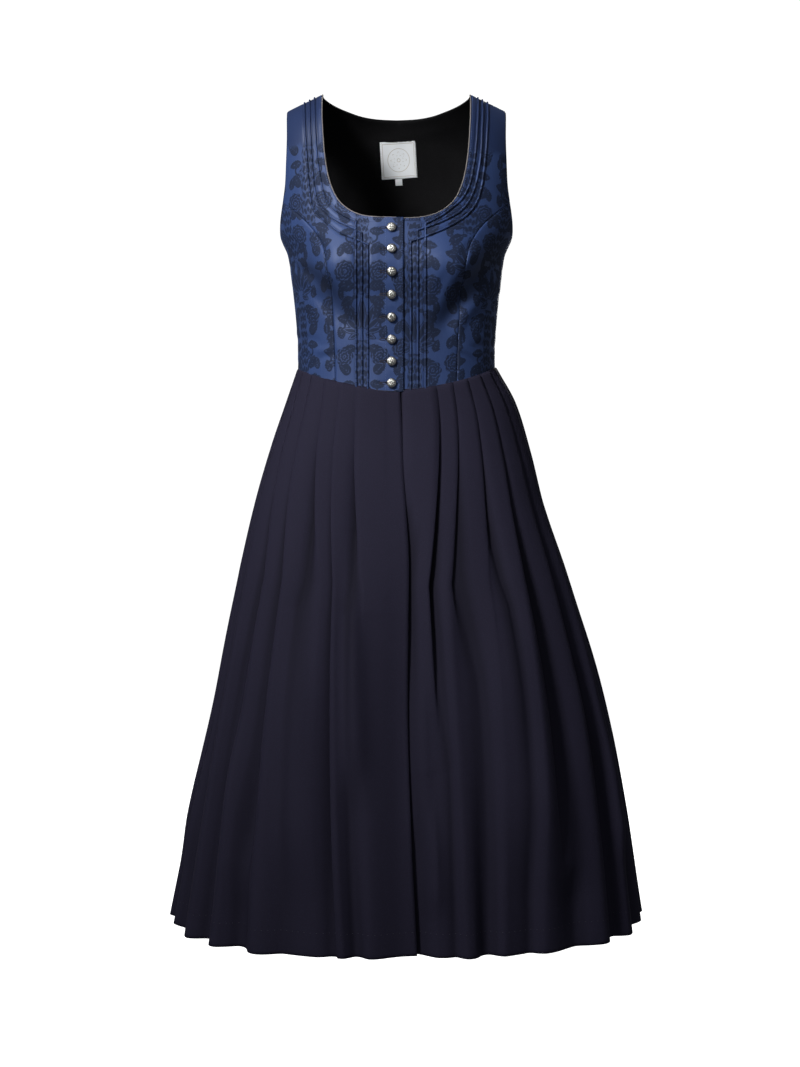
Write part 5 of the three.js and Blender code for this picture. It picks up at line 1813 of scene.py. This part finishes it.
def add_skirt():
    right, right_shade = skirt_half(-1)
    left, left_shade = skirt_half(1)
    start = (SIDE_SEAM_COLUMN + 1) * FINER_COLUMNS
    add_skirt_piece("skirt_cloth_front_right", right[:, :start], right_shade[:, :start], "skirt_front_right")
    add_skirt_piece("skirt_cloth_front_left", left[:, :start], left_shade[:, :start], "skirt_front_left")
    back, shade = (
        np.concatenate([one[:, start - 1 :], other[:, start - 1 : -1][:, ::-1]], 1)
        for one, other in ((right, left), (right_shade, left_shade))
    )
    add_skirt_piece("skirt_cloth_back", back, shade, "skirt_back")
    add_hem_stitches(right, left)


# The turned hem's depth over the skirt's length, and its stitches
HEM_TURN = dict(depth=28, skirt=705)
HEM_STITCH = dict(half=0.3, height=0.25, margin=4, length=1.6, spacing=8.0, rise=[0.3, 0.6, 0.3])


def add_hem_stitches(right, left):
    """Tiny pricked stitches where the turned hem is caught."""
    parts = []
    outline = round_bar(HEM_STITCH["half"], HEM_STITCH["height"], 4)
    rise = np.array(HEM_STITCH["rise"])[:, None]
    row = int(SKIRT_ROWS * (1 - HEM_TURN["depth"] / HEM_TURN["skirt"]))
    for grid in (right, left):
        line = grid[row]
        ahead = np.gradient(line, axis=0)
        ahead /= np.linalg.norm(ahead, axis=1, keepdims=True)
        out = np.cross(ahead, [0, 0, 1.0])
        if (out[:, :2] * line[:, :2]).sum() < 0:
            out = -out
        run = run_length(line)
        margin, length = HEM_STITCH["margin"], HEM_STITCH["length"]
        for start in np.arange(margin, run[-1] - margin, HEM_STITCH["spacing"]):
            at = np.linspace(start, start + length, len(rise))
            some, push = sampled(at, run, line), sampled(at, run, out)
            push /= np.linalg.norm(push, axis=1, keepdims=True)
            parts.append(sweep(some + push * rise, push, outline))
    add_piece("hem_stitches", *gather(parts), [NAVY_THREAD], "skirt")


# The scene, in metres and watts
CAMERA = dict(lens=54.18, sensor=36, place=(0.0049, -2.2, -0.585))
WHITE, BLACK = (1, 1, 1, 1), (0, 0, 0, 1)
PALE_MOTTLING = 0.985
FLOOR = dict(half=7.0, below_hem=0.26, shade=0.9, glow=1.0)
BACKDROP = dict(radius=9, height=-0.6, glow=1.05)
SKY = dict(colour=(0.93, 0.96, 1.0, 1), strength=0.09)
LIGHTS = dict(
    name=["key", "fill", "top", "behind"],
    place=[(-1.5, -2.1, 1.15), (1.3, -2.5, -0.1), (-0.2, -0.9, 1.5), (0.25, 3.0, 0.5)],
    aim=[(0.03, 0, -0.3), (0, 0, -0.4), (0, 0, -0.4), (0, 0, -0.5)],
    size=[0.6, 1.2, 0.9, 1.2],
    energy=[7.6, 4, 2, 45],
    spread=[50, 180, 180, 180],
)


def add_camera():
    data = bpy.data.cameras.new("camera")
    data.lens = CAMERA["lens"]
    data.sensor_width = CAMERA["sensor"]
    camera = bpy.data.objects.new("camera", data)
    camera.location = CAMERA["place"]
    camera.rotation_euler = (math.pi / 2, 0, 0)
    root.objects.link(camera)
    bpy.context.scene.camera = camera


def add_light(name, place, aim, size, energy, spread):
    data = bpy.data.lights.new(name, "AREA")
    data.size = size
    data.spread = math.radians(spread)
    data.energy = energy
    light = bpy.data.objects.new(name, data)
    light.location = place
    direction = np.array(aim) - np.array(place)
    yaw = math.atan2(direction[1], direction[0])
    pitch = math.atan2(direction[2], math.hypot(direction[0], direction[1]))
    light.rotation_euler = (math.pi / 2 + pitch, 0, yaw - math.pi / 2)
    root.objects.link(light)


def pale_material(name, shade, glow):
    material, tree, shader = new_material(name)
    low = shade * PALE_MOTTLING
    cloud = noise(tree, object_place(tree), 2.0)
    base = mix(tree, cloud, (low, low, low, 1), (shade, shade, shade, 1))
    tree.links.new(base, shader.inputs["Base Color"])
    finish(shader, Roughness=0.9, Specular_IOR_Level=0.1, Emission_Color=WHITE, Emission_Strength=glow)
    return material


def add_surroundings():
    """A pale floor below the hem, a white dome seen only behind the object, and soft lights."""
    floor = bpy.data.meshes.new("floor")
    half, level = FLOOR["half"], HEM_Z * MM - FLOOR["below_hem"]
    corners = [(-half, -half, level), (half, -half, level), (half, half, level), (-half, half, level)]
    floor.from_pydata(corners, [], [[0, 1, 2, 3]])
    floor.materials.append(pale_material("pale_floor", FLOOR["shade"], FLOOR["glow"]))
    ground = bpy.data.objects.new("floor", floor)
    root.objects.link(ground)
    ground.visible_diffuse = ground.visible_glossy = False
    radius, centre = BACKDROP["radius"], (0, 0, BACKDROP["height"])
    bpy.ops.mesh.primitive_uv_sphere_add(segments=48, ring_count=24, radius=radius, location=centre)
    dome = bpy.context.object
    dome.name = "backdrop"
    material, _, shader = new_material("backdrop_white")
    finish(shader, Base_Color=BLACK, Emission_Color=WHITE, Emission_Strength=BACKDROP["glow"])
    dome.data.materials.append(material)
    dome.visible_diffuse = dome.visible_glossy = dome.visible_shadow = dome.visible_transmission = False
    world = bpy.data.worlds.new("studio")
    world.use_nodes = True
    finish(world.node_tree.nodes["Background"], Color=SKY["colour"], Strength=SKY["strength"])
    bpy.context.scene.world = world
    for row in rows_of(LIGHTS):
        add_light(**row)


def main():
    add_camera()
    add_surroundings()
    for side in (-1, 1):
        add_front(side)
        add_side(side, "side_front")
        add_side(side, "side_back")
        add_tucks(side)
    add_back()
    add_lining()
    add_skirt()
    add_buttons()
    add_buttonholes()
    add_neck_edge()
    add_shoulder_seams()
    add_placket_stitches()
    add_waist_piping()
    add_label()


main()
